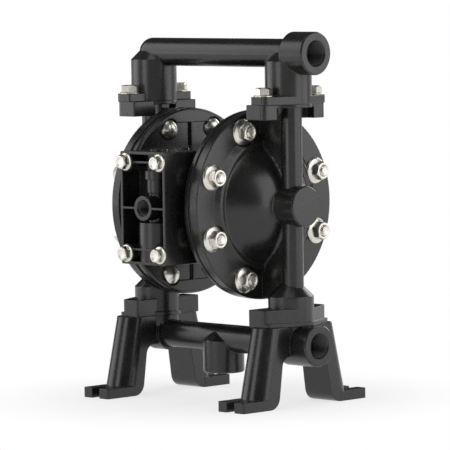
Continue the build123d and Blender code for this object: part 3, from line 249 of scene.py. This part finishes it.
# ------------------------------------------------------------------ finishes
@dataclass(frozen=True)
class MouldedPlastic:
    """Black glass-filled polypropylene as it leaves the mould."""

    name: str = "moulded_black_plastic"
    value: float = 0.012
    roughness: float = 0.24
    tint: tuple[float, float, float] = (1.0, 0.99, 0.96)
    dust_tint: tuple[float, float, float] = (1.0, 0.98, 0.93)
    flow_size: float = 22 * MM
    dust_size: float = 6 * MM
    speckle_size: float = 1.1 * MM
    grain_size: float = 0.45 * MM
    grain_depth: float = 0.006 * MM
    corner_radius: float = 1.1 * MM
    specular: float = 0.55
    coat: float = 0.12
    coat_roughness: float = 0.18

    def build(self) -> bpy.types.Material:
        """Flow clouds, a little dust, fine grain and softened corners over a satin black."""
        g = Graph(self.name)
        flow = g.noise(self.flow_size, 3.0)
        speckle = g.noise(self.speckle_size, 2.0)
        grain = g.noise(self.grain_size, 2.0)
        dust = g.noise(self.dust_size, 4.0).ramp(0.56, 0.75)
        dark = grey(self.value * 0.85, self.tint)
        light = grey(self.value * 1.25, self.tint)
        dusty = grey(self.value * 2.4, self.dust_tint)
        base = g.mix(dust * 0.25, g.mix(flow.ramp(0.35, 0.7), dark, light), dusty)
        rough = self.roughness + flow * 0.10 - 0.05 + speckle * 0.06 + dust * 0.08
        return g.principled(
            Base_Color=base,
            Roughness=rough,
            Specular_IOR_Level=self.specular,
            Coat_Weight=self.coat,
            Coat_Roughness=self.coat_roughness,
            Normal=g.bump(grain * 0.6 + speckle * 0.4, self.grain_depth, self.corner_radius),
        )


@dataclass(frozen=True)
class BrightSteel:
    """Plated or stainless hardware with fine tool marks and handling marks."""

    name: str = "bright_stainless"
    tint: tuple[float, float, float] = (1.0, 0.965, 0.89)
    roughness: float = 0.24
    clean: float = 0.84
    handled: float = 0.74
    pitted: float = 0.45
    smudge_size: float = 3.5 * MM
    streak_size: float = 0.5 * MM
    streak_stretch: tuple[float, float, float] = (0.12, 1.0, 1.0)
    pit_size: float = 0.3 * MM
    mark_depth: float = 0.012 * MM
    corner_radius: float = 0.25 * MM

    def build(self) -> bpy.types.Material:
        """Streaks from rolling, smudges and tiny pits on bright metal."""
        g = Graph(self.name)
        streak = g.noise(self.streak_size, 3.0, self.streak_stretch)
        smudge = g.noise(self.smudge_size, 3.0)
        pits = g.noise(self.pit_size, 1.0).ramp(0.62, 0.8)
        clean = grey(self.clean, self.tint)
        handled = grey(self.handled, self.tint)
        base = g.mix(smudge.ramp(0.35, 0.7), clean, handled)
        base = g.mix(pits * 0.25, base, grey(self.pitted, self.tint))
        rough = self.roughness + smudge * 0.16 - 0.06 + streak * 0.08
        normal = g.bump(streak * 0.7 + pits * 0.3, self.mark_depth, self.corner_radius)
        return g.principled(Base_Color=base, Metallic=1.0, Roughness=rough, Normal=normal)


@dataclass(frozen=True)
class PlainFinish:
    """A simpler finish with clouds and grain for the parts inside and behind."""

    name: str
    colour: tuple[float, float, float]
    roughness: float
    metallic: float = 0.0
    cloud: float = 8 * MM
    grain: float = 0.6 * MM
    depth: float = 0.02 * MM
    edge: float = 0.3 * MM

    def build(self) -> bpy.types.Material:
        """Colour clouds of a tenth either way over a fine grain."""
        g = Graph(self.name)
        clouds = g.noise(self.cloud, 3.0)
        grain = g.noise(self.grain, 2.0)
        dark = grey(0.88, self.colour)
        light = grey(1.08, self.colour)
        base = g.mix(clouds.ramp(0.3, 0.7), dark, light)
        rough = self.roughness + clouds * 0.12 - 0.06 + grain * 0.06
        return g.principled(
            Base_Color=base,
            Metallic=self.metallic,
            Roughness=rough,
            Normal=g.bump(grain, self.depth, self.edge),
        )


# The port threads are the same black plastic as the housing, given a value about four times higher:
# painted highlight, so their crests show lighter in the mouths of the ports.
PORT_THREADS_PAINTED_LIGHT = MouldedPlastic("port_thread_plastic_painted_light", 0.05, 0.36)
FINISHES: dict[Slot, object] = {
    Slot.HOUSING: MouldedPlastic(),
    Slot.FASTENERS: BrightSteel(),
    Slot.INSERTS: PlainFinish("turned_brass", (0.72, 0.52, 0.24), 0.30, 1.0),
    Slot.RUBBER: PlainFinish("moulded_rubber", (0.022, 0.022, 0.023), 0.62),
    Slot.PLATES: PlainFinish("turned_aluminium", (0.66, 0.66, 0.68), 0.32, 1.0),
    Slot.WHITE: PlainFinish("white_acetal", (0.80, 0.79, 0.75), 0.34),
    Slot.SPOOL: PlainFinish("grey_acetal", (0.50, 0.51, 0.50), 0.36),
    Slot.MUFFLER: MouldedPlastic("muffler_black_plastic", 0.018, 0.34),
    Slot.POROUS: PlainFinish(
        "sintered_polymer",
        (0.74, 0.73, 0.69),
        0.75,
        cloud=5 * MM,
        grain=0.5 * MM,
        depth=0.25 * MM,
    ),
}


# ------------------------------------------------------------------ studio
@dataclass(frozen=True)
class Softbox:
    """One soft rectangular lamp that faces the middle of the pump.

    The azimuth counts in degrees from -Y towards +X, where the camera stands at 45. The
    radiance is the brightness of the lamp's face, where 1 is white.
    """

    name: str
    azimuth: float
    elevation: float
    size: tuple[float, float]
    radiance: float

    def build(self, centre: Vector, distance: float) -> None:
        """Adds the lamp. Its power is pi times its area times its radiance.

        Args:
            centre: The point that it faces.
            distance: How far from that point it stands, in metres.
        """
        out = direction(self.azimuth, self.elevation)
        data = bpy.data.lights.new(self.name, "AREA")
        data.shape = "RECTANGLE"
        data.size, data.size_y = self.size
        data.energy = math.pi * self.size[0] * self.size[1] * self.radiance
        lamp = bpy.data.objects.new(self.name, data)
        lamp.location = centre + out * distance
        lamp.rotation_euler = out.to_track_quat("Z", "Y").to_euler()
        bpy.context.scene.collection.objects.link(lamp)


def direction(azimuth: float, elevation: float) -> Vector:
    """Unit vector at an azimuth from -Y towards +X and an elevation, in degrees."""
    a = math.radians(azimuth)
    e = math.radians(elevation)
    return Vector((math.sin(a) * math.cos(e), -math.cos(a) * math.cos(e), math.sin(e)))


@dataclass
class Studio:
    """Camera, lamps, world and floor."""

    axis_height: float = 155.6 * MM
    distance: float = 2.9264
    azimuth: float = 45.183
    elevation: float = 3.799
    roll: float = -0.778
    lens: float = 295.29
    aim_right: float = 2.443 * MM
    aim_up: float = -18.156 * MM
    lamp_distance: float = 2.0
    lamps: tuple[Softbox, ...] = (
        Softbox("far_left_softbox", -60.0, 18.0, (1.4, 1.9), 1.7),
        Softbox("left_softbox", -4.0, 20.0, (0.8, 1.9), 2.0),
        Softbox("right_softbox", 96.0, 20.0, (1.1, 1.9), 1.8),
        Softbox("far_right_softbox", 130.0, 18.0, (1.2, 1.9), 1.5),
        Softbox("rim_softbox", 190.0, 20.0, (1.0, 1.2), 2.6),
        Softbox("top_softbox", 10.0, 80.0, (1.0, 1.0), 1.3),
    )
    world_light: float = 0.24
    world_mirrored: float = 0.06
    floor_half: float = 12.0
    floor_whiteness: float = 0.72
    floor_mirrored: float = 0.7
    shadow_reach: tuple[float, float] = (0.08, 0.22)

    def camera(self) -> None:
        """Places the long lens that looks at the front right corner of the pump."""
        back = direction(self.azimuth, self.elevation)
        centre = Vector((0.0, 0.0, self.axis_height))
        right = direction(self.azimuth + 90.0, 0.0)
        up = right.cross(-back)
        place = centre + back * self.distance
        aim = centre + right * self.aim_right + up * self.aim_up
        forward = (aim - place).normalized()
        side = forward.cross(Vector((0.0, 0.0, 1.0))).normalized()
        top = side.cross(forward)
        turn = math.radians(self.roll)
        cam_x = side * math.cos(turn) + top * math.sin(turn)
        cam_y = top * math.cos(turn) - side * math.sin(turn)
        matrix = Matrix((cam_x, cam_y, -forward)).transposed().to_4x4()
        matrix.translation = place
        data = bpy.data.cameras.new("studio_camera")
        data.lens = self.lens
        data.sensor_width = 36.0
        data.sensor_fit = "HORIZONTAL"
        data.clip_end = 50.0
        camera = bpy.data.objects.new("studio_camera", data)
        camera.matrix_world = matrix
        bpy.context.scene.collection.objects.link(camera)
        bpy.context.scene.camera = camera

    def world(self) -> None:
        """White to the camera, pale grey in reflections and a soft grey light elsewhere."""
        world = bpy.data.worlds.new("studio_world")
        bpy.context.scene.world = world
        world.use_nodes = True
        tree = world.node_tree
        tree.nodes.clear()
        path = tree.nodes.new("ShaderNodeLightPath")
        lit = tree.nodes.new("ShaderNodeBackground")
        mirrored = tree.nodes.new("ShaderNodeBackground")
        seen = tree.nodes.new("ShaderNodeBackground")
        low = tree.nodes.new("ShaderNodeMixShader")
        mixed = tree.nodes.new("ShaderNodeMixShader")
        output = tree.nodes.new("ShaderNodeOutputWorld")
        strengths = (self.world_light, self.world_mirrored, 1.0)
        for background, strength in zip((lit, mirrored, seen), strengths):
            background.inputs["Color"].default_value = (1.0, 1.0, 1.0, 1.0)
            background.inputs["Strength"].default_value = strength
        tree.links.new(path.outputs["Is Glossy Ray"], low.inputs[0])
        tree.links.new(lit.outputs[0], low.inputs[1])
        tree.links.new(mirrored.outputs[0], low.inputs[2])
        tree.links.new(path.outputs["Is Camera Ray"], mixed.inputs[0])
        tree.links.new(low.outputs[0], mixed.inputs[1])
        tree.links.new(seen.outputs[0], mixed.inputs[2])
        tree.links.new(mixed.outputs[0], output.inputs[0])

    def floor(self) -> None:
        """A pale floor that shows white to the camera but keeps a soft shadow."""
        g = Graph("studio_floor")
        cloud = g.noise(0.6, 1.0)
        colour = g.mix(cloud, grey(0.90), grey(0.93))
        diffuse = g.node("ShaderNodeBsdfDiffuse", {}, {"Color": colour})
        white = g.node("ShaderNodeEmission", {}, {"Color": grey(1.0), "Strength": 1.0})
        path = g.node("ShaderNodeLightPath", {}, {}, "Is Camera Ray")
        place = g.node("ShaderNodeTexCoord", {}, {}, "Object")
        away = g.node("ShaderNodeVectorMath", {"operation": "LENGTH"}, {0: place}, "Value")
        near = self.floor_whiteness
        whiteness = near + away.ramp(*self.shadow_reach) * (1.0 - near)
        far = g.node("ShaderNodeMixShader", {}, {0: whiteness, 1: diffuse, 2: white})
        mirror = g.node("ShaderNodeLightPath", {}, {}, "Is Glossy Ray")
        shine = mirror * self.floor_mirrored
        bright = g.node("ShaderNodeMixShader", {}, {0: shine, 1: diffuse, 2: white})
        shown = g.node("ShaderNodeMixShader", {}, {0: path, 1: bright, 2: far})
        g.tree.links.new(shown.socket, g.output.inputs[0])
        half = self.floor_half
        mesh = bpy.data.meshes.new("studio_floor")
        corners = [(-half, -half, 0.0), (half, -half, 0.0), (half, half, 0.0), (-half, half, 0.0)]
        mesh.from_pydata(corners, [], [(0, 1, 2, 3)])
        floor = bpy.data.objects.new("studio_floor", mesh)
        floor.data.materials.append(g.material)
        bpy.context.scene.collection.objects.link(floor)

    def build(self) -> None:
        """Sets up the whole studio."""
        self.camera()
        self.world()
        self.floor()
        for lamp in self.lamps:
            lamp.build(Vector((0.0, 0.0, self.axis_height)), self.lamp_distance)
        bpy.context.scene.view_settings.view_transform = "Standard"


# ------------------------------------------------------------------ surfaces
Profile = np.ndarray


def rounded(points: Sequence[Sequence[float]], size: float, steps: int = 5) -> Profile:
    """Rounds the inner corners of an open profile.

    Each corner is swapped for a quadratic curve that leaves the two sides at the given
    distance from the corner, or at 0.45 of the shorter side if that is less.

    Args:
        points: (radius, height) corners.
        size: Distance from a corner at which its curve starts.
        steps: Points on each curve.

    Returns:
        The points of the rounded profile.
    """
    pts = np.asarray(points, float)
    out = [pts[:1]]
    t = np.linspace(0.0, 1.0, steps)[:, None]
    for before, corner, after in zip(pts[:-2], pts[1:-1], pts[2:]):
        back = before - corner
        ahead = after - corner
        reach = min(size, 0.45 * np.linalg.norm(back), 0.45 * np.linalg.norm(ahead))
        start = corner + back / np.linalg.norm(back) * reach
        end = corner + ahead / np.linalg.norm(ahead) * reach
        out.append((1 - t) ** 2 * start + 2 * t * (1 - t) * corner + t**2 * end)
    out.append(pts[-1:])
    return np.vstack(out)


def refined(profile: Profile, step: float) -> Profile:
    """Adds points to a profile so that none of its sides is longer than step."""
    parts = []
    for a, b in zip(profile[:-1], profile[1:]):
        count = max(1, int(np.ceil(np.linalg.norm(b - a) / step)))
        parts.append(a + (b - a) * np.arange(count)[:, None] / count)
    return np.vstack(parts + [profile[-1:]])


@dataclass(frozen=True)
class Thread:
    """A screw thread cut into, or standing out of, a turned surface."""

    pitch: float
    depth: float
    low: float
    high: float

    def shift(self, height: np.ndarray, angle: np.ndarray) -> np.ndarray:
        """Change of radius that the thread makes.

        The ridge is a cosine of height over pitch minus the turn. It fades in and out
        over one pitch at both ends.

        Args:
            height: Heights of the points.
            angle: Angles of the points.

        Returns:
            The change of radius, from zero to the full depth inwards.
        """
        ridge = 0.5 - 0.5 * np.cos(2 * np.pi * height / self.pitch - angle)
        fade_in = np.clip((height - self.low) / self.pitch, 0, 1)
        fade_out = np.clip((self.high - height) / self.pitch, 0, 1)
        return -self.depth * ridge * fade_in * fade_out


@dataclass(frozen=True)
class Turned:
    """A surface of revolution about +Z, which can carry flats and a thread."""

    profile: Profile
    around: int = 72
    flats: float = 0.0
    turn: float = 0.0
    thread: Thread | None = None

    def points(self) -> np.ndarray:
        """Points of the surface.

        A point's radius is that of the profile, or the distance to the nearest flat of a
        hexagon if that is less, plus what the thread adds. The hexagon's distance is half
        the width over flats divided by the cosine of the angle from the flat's middle.

        Returns:
            An array of rings, points round a ring, and coordinates.
        """
        angle = np.linspace(0, 2 * np.pi, self.around, endpoint=False)[None, :]
        radius = self.profile[:, 0][:, None] + 0 * angle
        height = self.profile[:, 1][:, None] + 0 * angle
        if self.flats:
            sector = np.pi / 3
            off = np.mod(angle - self.turn + sector / 2, sector) - sector / 2
            radius = np.minimum(radius, self.flats / 2 / np.cos(off))
        if self.thread:
            radius = radius + self.thread.shift(height, angle + 0 * height)
        return np.stack([radius * np.cos(angle), radius * np.sin(angle), height], axis=-1)


@dataclass
class MeshSum:
    """Vertices and faces of several surfaces gathered into one mesh."""

    name: str
    vertices: list[np.ndarray] = field(default_factory=list)
    faces: list[np.ndarray] = field(default_factory=list)
    count: int = 0

    def add(self, grid: np.ndarray, place: np.ndarray, looped: bool = False) -> None:
        """Adds a grid of rings, closed round each ring.

        Args:
            grid: Array of rings, points and coordinates in millimetres.
            place: 4 by 4 matrix into the row frame, in millimetres.
            looped: Whether the last ring joins the first.
        """
        rings, around = grid.shape[:2]
        flat = grid.reshape(-1, 3) @ place[:3, :3].T + place[:3, 3]
        row = np.arange(rings if looped else rings - 1)[:, None]
        first = row * around
        second = (row + 1) % rings * around
        here = np.arange(around)[None, :]
        there = np.roll(here, -1, axis=1)
        quads = np.stack([first + here, first + there, second + there, second + here], axis=-1)
        self.vertices.append(flat)
        self.faces.append(quads.reshape(-1, 4) + self.count)
        self.count += len(flat)

    def build(
        self,
        material: bpy.types.Material,
        slot: Slot,
        nodes: Sequence[str] = (),
    ) -> bpy.types.Object:
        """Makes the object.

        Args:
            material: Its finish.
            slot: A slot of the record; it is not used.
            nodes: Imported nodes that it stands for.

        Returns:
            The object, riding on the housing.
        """
        mesh = bpy.data.meshes.new(self.name)
        vertices = np.vstack(self.vertices) * MM
        faces = np.vstack(self.faces)
        mesh.vertices.add(len(vertices))
        mesh.vertices.foreach_set("co", vertices.ravel())
        mesh.loops.add(faces.size)
        mesh.loops.foreach_set("vertex_index", faces.ravel())
        mesh.polygons.add(len(faces))
        mesh.polygons.foreach_set("loop_start", np.arange(len(faces)) * 4)
        mesh.polygons.foreach_set("use_smooth", np.ones(len(faces), bool))
        mesh.update(calc_edges=True)
        mesh.validate()
        mesh.set_sharp_from_angle(angle=math.radians(32))
        mesh.materials.append(material)
        made = bpy.data.objects.new(self.name, mesh)
        bpy.context.scene.collection.objects.link(made)
        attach(made, "housing")
        if nodes:
            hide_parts(*nodes)
        LOG.info("built %s with %d faces", self.name, len(faces))
        return made


def placed(origin: Sequence[float], axis: Sequence[float], turn: float = 0.0) -> np.ndarray:
    """Matrix that stands a form drawn along +Z at origin, along axis, turned about itself."""
    rotation = Vector(axis).to_track_quat("Z", "Y").to_matrix().to_4x4()
    return np.array(Matrix.Translation(origin) @ rotation @ Matrix.Rotation(turn, 4, "Z"))


# ------------------------------------------------------------------ hardware
def node_box(node: str) -> tuple[np.ndarray, np.ndarray]:
    """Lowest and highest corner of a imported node, in millimetres."""
    low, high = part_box(node)
    return np.array(low) / MM, np.array(high) / MM


@dataclass(frozen=True)
class Sizes:
    """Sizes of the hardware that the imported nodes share, in millimetres."""

    washer_radius: float = 10.5
    round_head: float = 6.3
    round_head_radius: float = 8.5
    collar_radius: float = 7.8
    small_collar_radius: float = 6.8
    tall_head: float = 7.0
    low_head: float = 5.3
    small_head: float = 6.4
    wide_hex: float = 13.0
    ear_hex: float = 12.0
    sunk_hex: float = 11.0
    small_hex: float = 10.0
    nut: float = 6.5
    outlet_boss_radius: float = 16.8
    tube_radius: float = 11.0
    pipe_thread: tuple[float, float, float] = (9.32, 1.814, 15.9)
    air_thread: tuple[float, float, float] = (5.9, 1.337, 10.0)


class Layout:
    """Places of the hardware in millimetres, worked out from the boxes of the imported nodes."""

    cap_bolts = 8

    def __init__(self, sizes: Sizes) -> None:
        """Measures the frame."""
        low, high = node_box("right_cap_washers")
        self.sizes = sizes
        self.axis = (low[2] + high[2]) / 2
        self.flange_x = low[0]
        self.nut_x = node_box("right_cap_nuts")[0][0]
        self.tip_x = node_box("right_cap_bolts")[1][0]
        self.recess_x = node_box("right_cap_bolts")[0][0] + sizes.round_head
        rise = (high[2] - low[2]) / 2 - sizes.washer_radius
        self.pitch_radius = rise / math.cos(math.pi / self.cap_bolts)
        top = node_box("outlet_flange_bolts")[1]
        self.column_x = top[0] - sizes.collar_radius
        self.ear_y = top[1] - sizes.collar_radius
        self.ear_top = top[2] - sizes.tall_head
        self.ear_nut = node_box("outlet_flange_nuts")[0][2]
        self.ear_tip = node_box("outlet_flange_bolts")[0][2]
        self.foot_seat = node_box("inlet_flange_bolts")[1][2] - sizes.low_head
        low, high = node_box("valve_block_bolts")
        self.block_x = high[0] - sizes.small_collar_radius
        self.block_y = low[1] + sizes.small_head
        self.block_z = (high[2] - low[2]) / 2 - sizes.small_collar_radius
        outlet = node_box("outlet_manifold")[1]
        self.outlet_mouth = (outlet[0], 0.0, outlet[2] - sizes.outlet_boss_radius)
        tube_top = node_box("inlet_tube")[1][2]
        self.inlet_mouth = (node_box("right_foot")[1][0], 0.0, tube_top - sizes.tube_radius)
        self.air_mouth = (0.0, node_box("valve_block")[0][1], self.axis)

    def around_cap(self, x: float) -> list[tuple[float, float, float]]:
        """Places of the cap bolts at a distance x from the middle."""
        step = 2 * math.pi / self.cap_bolts
        angles = [step * (i + 0.5) for i in range(self.cap_bolts)]
        radius = self.pitch_radius
        return [(x, radius * math.cos(a), self.axis + radius * math.sin(a)) for a in angles]

    def at_ears(self, z: float) -> list[tuple[float, float, float]]:
        """Places of the flange bolts at a height z."""
        return [(x * self.column_x, y * self.ear_y, z) for x in (-1, 1) for y in (-1, 1)]

    def on_block(self) -> list[tuple[float, float, float]]:
        """Places of the valve block bolts."""
        signs = [(x, z) for x in (-1, 1) for z in (-1, 1)]
        return [(x * self.block_x, self.block_y, self.axis + z * self.block_z) for x, z in signs]


@dataclass(frozen=True)
class Screws:
    """Shapes of the bright hardware, drawn along +Z from the face that they bear on."""

    sizes: Sizes
    shank: float = 4.0
    bore: float = 4.2
    pitch: float = 1.25
    thread_depth: float = 0.55
    round_over: float = 0.3

    def turned(self, corners: Sequence[Sequence[float]], around: int, flats: float = 0.0) -> Turned:
        """Turned shape with softened corners, and with six flats if their width is given."""
        profile = refined(rounded(corners, self.round_over), 0.3)
        return Turned(profile, around, flats, math.pi / 6)

    def washer(self) -> Turned:
        """Dished washer with a rolled edge and a step under the nut."""
        r = self.sizes.washer_radius
        corners = [
            (self.bore, 0.05),
            (r - 0.2, 0.0),
            (r, 0.7),
            (r - 1.0, 1.7),
            (r - 2.9, 2.7),
            (r - 3.3, 3.0),
            (self.bore, 3.0),
        ]
        return self.turned(corners, 96)

    def nut(self, flats: float) -> Turned:
        """Hexagon nut with both faces turned off and its bore countersunk."""
        full = flats / 2 / math.cos(math.pi / 6)
        face = flats / 2 - 0.4
        high = self.sizes.nut
        corners = [
            (face, 0.0),
            (full, 0.9),
            (full, high - 1.3),
            (face, high - 0.02),
            (4.9, high),
            (4.1, high - 0.9),
        ]
        return self.turned(corners, 120, flats)

    def bolt_end(self, base: float, top: float) -> Turned:
        """Threaded end of a bolt from base to top, with its point chamfered."""
        r = self.shank
        corners = [
            (0.02, top - 0.25),
            (r - 1.7, top - 0.2),
            (r - 0.9, top),
            (r - 0.7, top),
            (r, top - 0.8),
            (r, base),
        ]
        thread = Thread(self.pitch, self.thread_depth, base - self.pitch, top - 0.1)
        return Turned(refined(rounded(corners, 0.2), self.pitch / 8), 64, thread=thread)

    def round_head(self) -> Turned:
        """Round head: a cap cut from a ball, with a short straight edge.

        With radius r and height h the ball's radius is (r squared plus h squared) over 2h.
        """
        radius = self.sizes.round_head_radius
        height = self.sizes.round_head - 0.05
        ball = (radius**2 + height**2) / (2 * height)
        reach = radius * np.linspace(0.0, 1.0, 26)
        rise = np.sqrt(ball**2 - reach**2) - ball + height
        top = np.stack([np.maximum(reach, 0.02), rise], axis=-1)
        return Turned(np.vstack([top, [(radius - 0.2, -0.05), (self.shank, -0.05)]]), 96)

    def collar(self, radius: float) -> Turned:
        """Collar under the head of a flange bolt."""
        corners = [(3.0, 0.02), (radius, 0.0), (radius, 0.8), (radius - 1.3, 1.45), (3.0, 1.5)]
        return self.turned(corners, 96)

    def head(self, flats: float, low: float, high: float) -> Turned:
        """Hexagon head with its top turned off and slightly dished."""
        full = flats / 2 / math.cos(math.pi / 6)
        face = flats / 2 - 0.5
        corners = [
            (0.02, high - 0.35),
            (face - 1.8, high - 0.3),
            (face - 0.9, high),
            (face, high),
            (full, high - 1.2),
            (full, low),
        ]
        return self.turned(corners, 120, flats)


Placed = tuple[Turned, np.ndarray]


@dataclass
class Hardware:
    """Builds every visible fastener from the shapes and their places.

    A tightened bolt or nut stops at any angle, so each group has the turn of its first one
    and the step to the next, in radians.
    """

    layout: Layout
    screws: Screws
    steel: bpy.types.Material
    cap_turn: tuple[float, float] = (0.35, 1.7)
    ear_turn: tuple[float, float] = (0.2, 1.9)
    block_turn: tuple[float, float] = (0.5, 1.3)
    head_foot: float = 1.2
    up: tuple[float, float, float] = (0.0, 0.0, 1.0)
    down: tuple[float, float, float] = (0.0, 0.0, -1.0)
    front: tuple[float, float, float] = (0.0, -1.0, 0.0)

    def gather(self, name: str, node: str, parts: Sequence[Placed]) -> None:
        """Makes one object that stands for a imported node."""
        mesh = MeshSum(name)
        for shape, place in parts:
            mesh.add(shape.points(), place)
        mesh.build(self.steel, Slot.FASTENERS, [node])

    def cap(self, side: int, name: str) -> None:
        """Washers, nuts and bolts of one cap.

        Args:
            side: 1 for the cap at +X, -1 for the one at -X.
            name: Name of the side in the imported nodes.
        """
        at = self.layout
        s = self.screws
        out = (float(side), 0.0, 0.0)
        back = (float(-side), 0.0, 0.0)
        first, step = self.cap_turn
        turns = [first + step * i for i in range(at.cap_bolts)]
        seats = at.around_cap(side * at.flange_x)
        tops = at.around_cap(side * at.nut_x)
        heads = at.around_cap(side * at.recess_x)
        washer, nut, head = s.washer(), s.nut(at.sizes.wide_hex), s.round_head()
        end = s.bolt_end(2.0, at.tip_x - at.nut_x)
        washers = [(washer, placed(p, out)) for p in seats]
        nuts = [(nut, placed(p, out, t)) for p, t in zip(tops, turns)]
        bolts = [(end, placed(p, out, t)) for p, t in zip(tops, turns)]
        bolts += [(head, placed(p, back)) for p in heads]
        self.gather(f"{name}_washers_made", f"{name}_cap_washers", washers)
        self.gather(f"{name}_nuts_made", f"{name}_cap_nuts", nuts)
        self.gather(f"{name}_bolts_made", f"{name}_cap_bolts", bolts)

    def ears(self) -> None:
        """Bolts and nuts of the outlet flanges and bolts of the foot flanges."""
        at = self.layout
        s = self.screws
        collar = s.collar(at.sizes.collar_radius)
        head = s.head(at.sizes.ear_hex, self.head_foot, at.sizes.tall_head)
        end = s.bolt_end(0.0, at.sizes.nut)
        tips = [(end, placed(p, self.down)) for p in at.at_ears(at.ear_tip + at.sizes.nut)]
        first, step = self.ear_turn
        tops = [placed(p, self.up, first + step * i) for i, p in enumerate(at.at_ears(at.ear_top))]
        bolts = [(shape, place) for place in tops for shape in (collar, head)]
        self.gather("outlet_bolts_made", "outlet_flange_bolts", bolts + tips)
        nut = s.nut(at.sizes.sunk_hex)
        nuts = [(nut, placed(p, self.up)) for p in at.at_ears(at.ear_nut)]
        self.gather("outlet_nuts_made", "outlet_flange_nuts", nuts)
        plain = s.head(at.sizes.sunk_hex, 0.0, at.sizes.low_head)
        plains = [(plain, placed(p, self.up)) for p in at.at_ears(at.foot_seat)]
        self.gather("foot_bolts_made", "inlet_flange_bolts", plains)

    def block(self) -> None:
        """Bolts of the valve block."""
        at = self.layout
        collar = self.screws.collar(at.sizes.small_collar_radius)
        head = self.screws.head(at.sizes.small_hex, self.head_foot, at.sizes.small_head)
        first, step = self.block_turn
        places = [placed(p, self.front, first + step * i) for i, p in enumerate(at.on_block())]
        parts = [(shape, place) for place in places for shape in (collar, head)]
        self.gather("block_bolts_made", "valve_block_bolts", parts)

    def build(self) -> None:
        """Builds all of it."""
        self.cap(1, "right")
        self.cap(-1, "left")
        self.ears()
        self.block()


@dataclass(frozen=True)
class Domes:
    """Softly convex skins over the two domes, filleted at the foot and beside the rib.

    Sizes are in millimetres, and sink is the slope of the cone round the foot. The foot and
    the top each give a distance from the middle of the pump and a radius about the rod. A
    skin is a closed shell that sinks into the hub, the rib and the valley round the dome.
    """

    layout: Layout
    plastic: bpy.types.Material
    foot: tuple[float, float] = (50.6, 45.6)
    top: tuple[float, float] = (71.8, 15.9)
    into_hub: float = 0.5
    bulge: float = 3.3
    rim: float = 49.0
    sink: float = 0.35
    foot_fillet: float = 3.0
    rib_half: float = 4.0
    rib_fillet: float = 3.2
    thickness: float = 3.4
    rings: int = 96
    around: int = 360

    def points(self) -> np.ndarray:
        """Points of one skin, drawn about +Z with its rib in the YZ plane.

        At a radius the dome stands on the chord from foot to hub, plus a parabola that is
        nought at both ends. Round the foot it meets a shallow cone, and the two join in a
        smooth maximum: the greater one plus the square of what they lack of the fillet's
        size, over four times that size. Beside the rib a quarter circle is added. The back
        is the front moved down by the thickness.

        Returns:
            An array of rings, points round a ring, and coordinates.
        """
        (foot_x, foot_r), (top_x, top_r) = self.foot, self.top
        angle = np.linspace(0, 2 * np.pi, self.around, endpoint=False)[None, :]
        reach = np.linspace(self.rim, top_r - self.into_hub, self.rings)[:, None]
        share = (foot_r - reach) / (foot_r - top_r)
        dome = foot_x + (top_x - foot_x) * share + 4 * self.bulge * share * (1 - share)
        base = foot_x - self.sink * (reach - foot_r)
        lack = np.maximum(self.foot_fillet - np.abs(dome - base), 0.0)
        height = np.maximum(dome, base) + lack**2 / (4 * self.foot_fillet)
        beside = np.abs(reach * np.cos(angle)) - self.rib_half
        inside = np.clip(self.rib_fillet - beside, 0.0, self.rib_fillet)
        height = height + self.rib_fillet - np.sqrt(self.rib_fillet**2 - inside**2)
        front = np.stack([reach * np.cos(angle), reach * np.sin(angle), height], axis=-1)
        back = front[::-1] - np.array([0.0, 0.0, self.thickness])
        return np.concatenate([front, back])

    def build(self) -> None:
        """Builds the skin of each cap."""
        for side, name in ((1.0, "right"), (-1.0, "left")):
            mesh = MeshSum(f"{name}_dome_made")
            place = placed((0.0, 0.0, self.layout.axis), (side, 0.0, 0.0))
            mesh.add(self.points(), place, looped=True)
            mesh.build(self.plastic, Slot.HOUSING)


@dataclass
class Ports:
    """Threads that line the three ports."""

    layout: Layout
    plastic: bpy.types.Material
    ridge: float = 0.9
    skin: float = 0.06

    def lining(
        self,
        name: str,
        mouth: Sequence[float],
        inwards: Sequence[float],
        size: Sequence[float],
    ) -> None:
        """Lines one port.

        Args:
            name: Name of the object.
            mouth: Middle of the port's mouth.
            inwards: Direction into the port.
            size: Radius of the drilled hole, pitch of the thread and its depth.
        """
        radius, pitch, length = size
        corners = np.array([(radius - self.skin, 1.0), (radius - self.skin, length)])
        thread = Thread(pitch, self.ridge, 0.6, length + pitch)
        mesh = MeshSum(name)
        wall = Turned(refined(corners, pitch / 12), 128, thread=thread)
        mesh.add(wall.points(), placed(mouth, inwards))
        mesh.build(self.plastic, Slot.HOUSING)

    def build(self) -> None:
        """Lines the outlet, the inlet and the air inlet."""
        at = self.layout
        self.lining("outlet_thread_made", at.outlet_mouth, (-1.0, 0.0, 0.0), at.sizes.pipe_thread)
        self.lining("inlet_thread_made", at.inlet_mouth, (-1.0, 0.0, 0.0), at.sizes.pipe_thread)
        self.lining("air_thread_made", at.air_mouth, (0.0, 1.0, 0.0), at.sizes.air_thread)


# ------------------------------------------------------------------ the pump
@dataclass
class Pump:
    """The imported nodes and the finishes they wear."""

    nodes: dict[str, bpy.types.Object]
    record: dict
    materials: dict[Slot, bpy.types.Material] = field(default_factory=dict)

    def finishes(self) -> None:
        """Builds one material for each slot."""
        for slot, finish in FINISHES.items():
            self.materials[slot] = finish.build()

    def dress(self) -> None:
        """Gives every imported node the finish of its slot."""
        for entry in self.record["subparts"]:
            node = self.nodes[entry["node"]]
            node.data.materials.clear()
            node.data.materials.append(self.materials[Slot(entry["material_slot"])])
            LOG.info("dressed %s as %s", entry["node"], entry["material_slot"])


def main() -> None:
    """Builds the dressed pump and its studio."""
    logging.basicConfig(level=logging.INFO, format="%(name)s: %(message)s")
    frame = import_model()
    pump = Pump(frame["nodes"], frame["record"])
    pump.finishes()
    pump.dress()
    layout = Layout(Sizes())
    Hardware(layout, Screws(layout.sizes), pump.materials[Slot.FASTENERS]).build()
    Domes(layout, pump.materials[Slot.HOUSING]).build()
    Ports(layout, PORT_THREADS_PAINTED_LIGHT.build()).build()
    Studio().build()


if __name__ == "__main__":
    main()
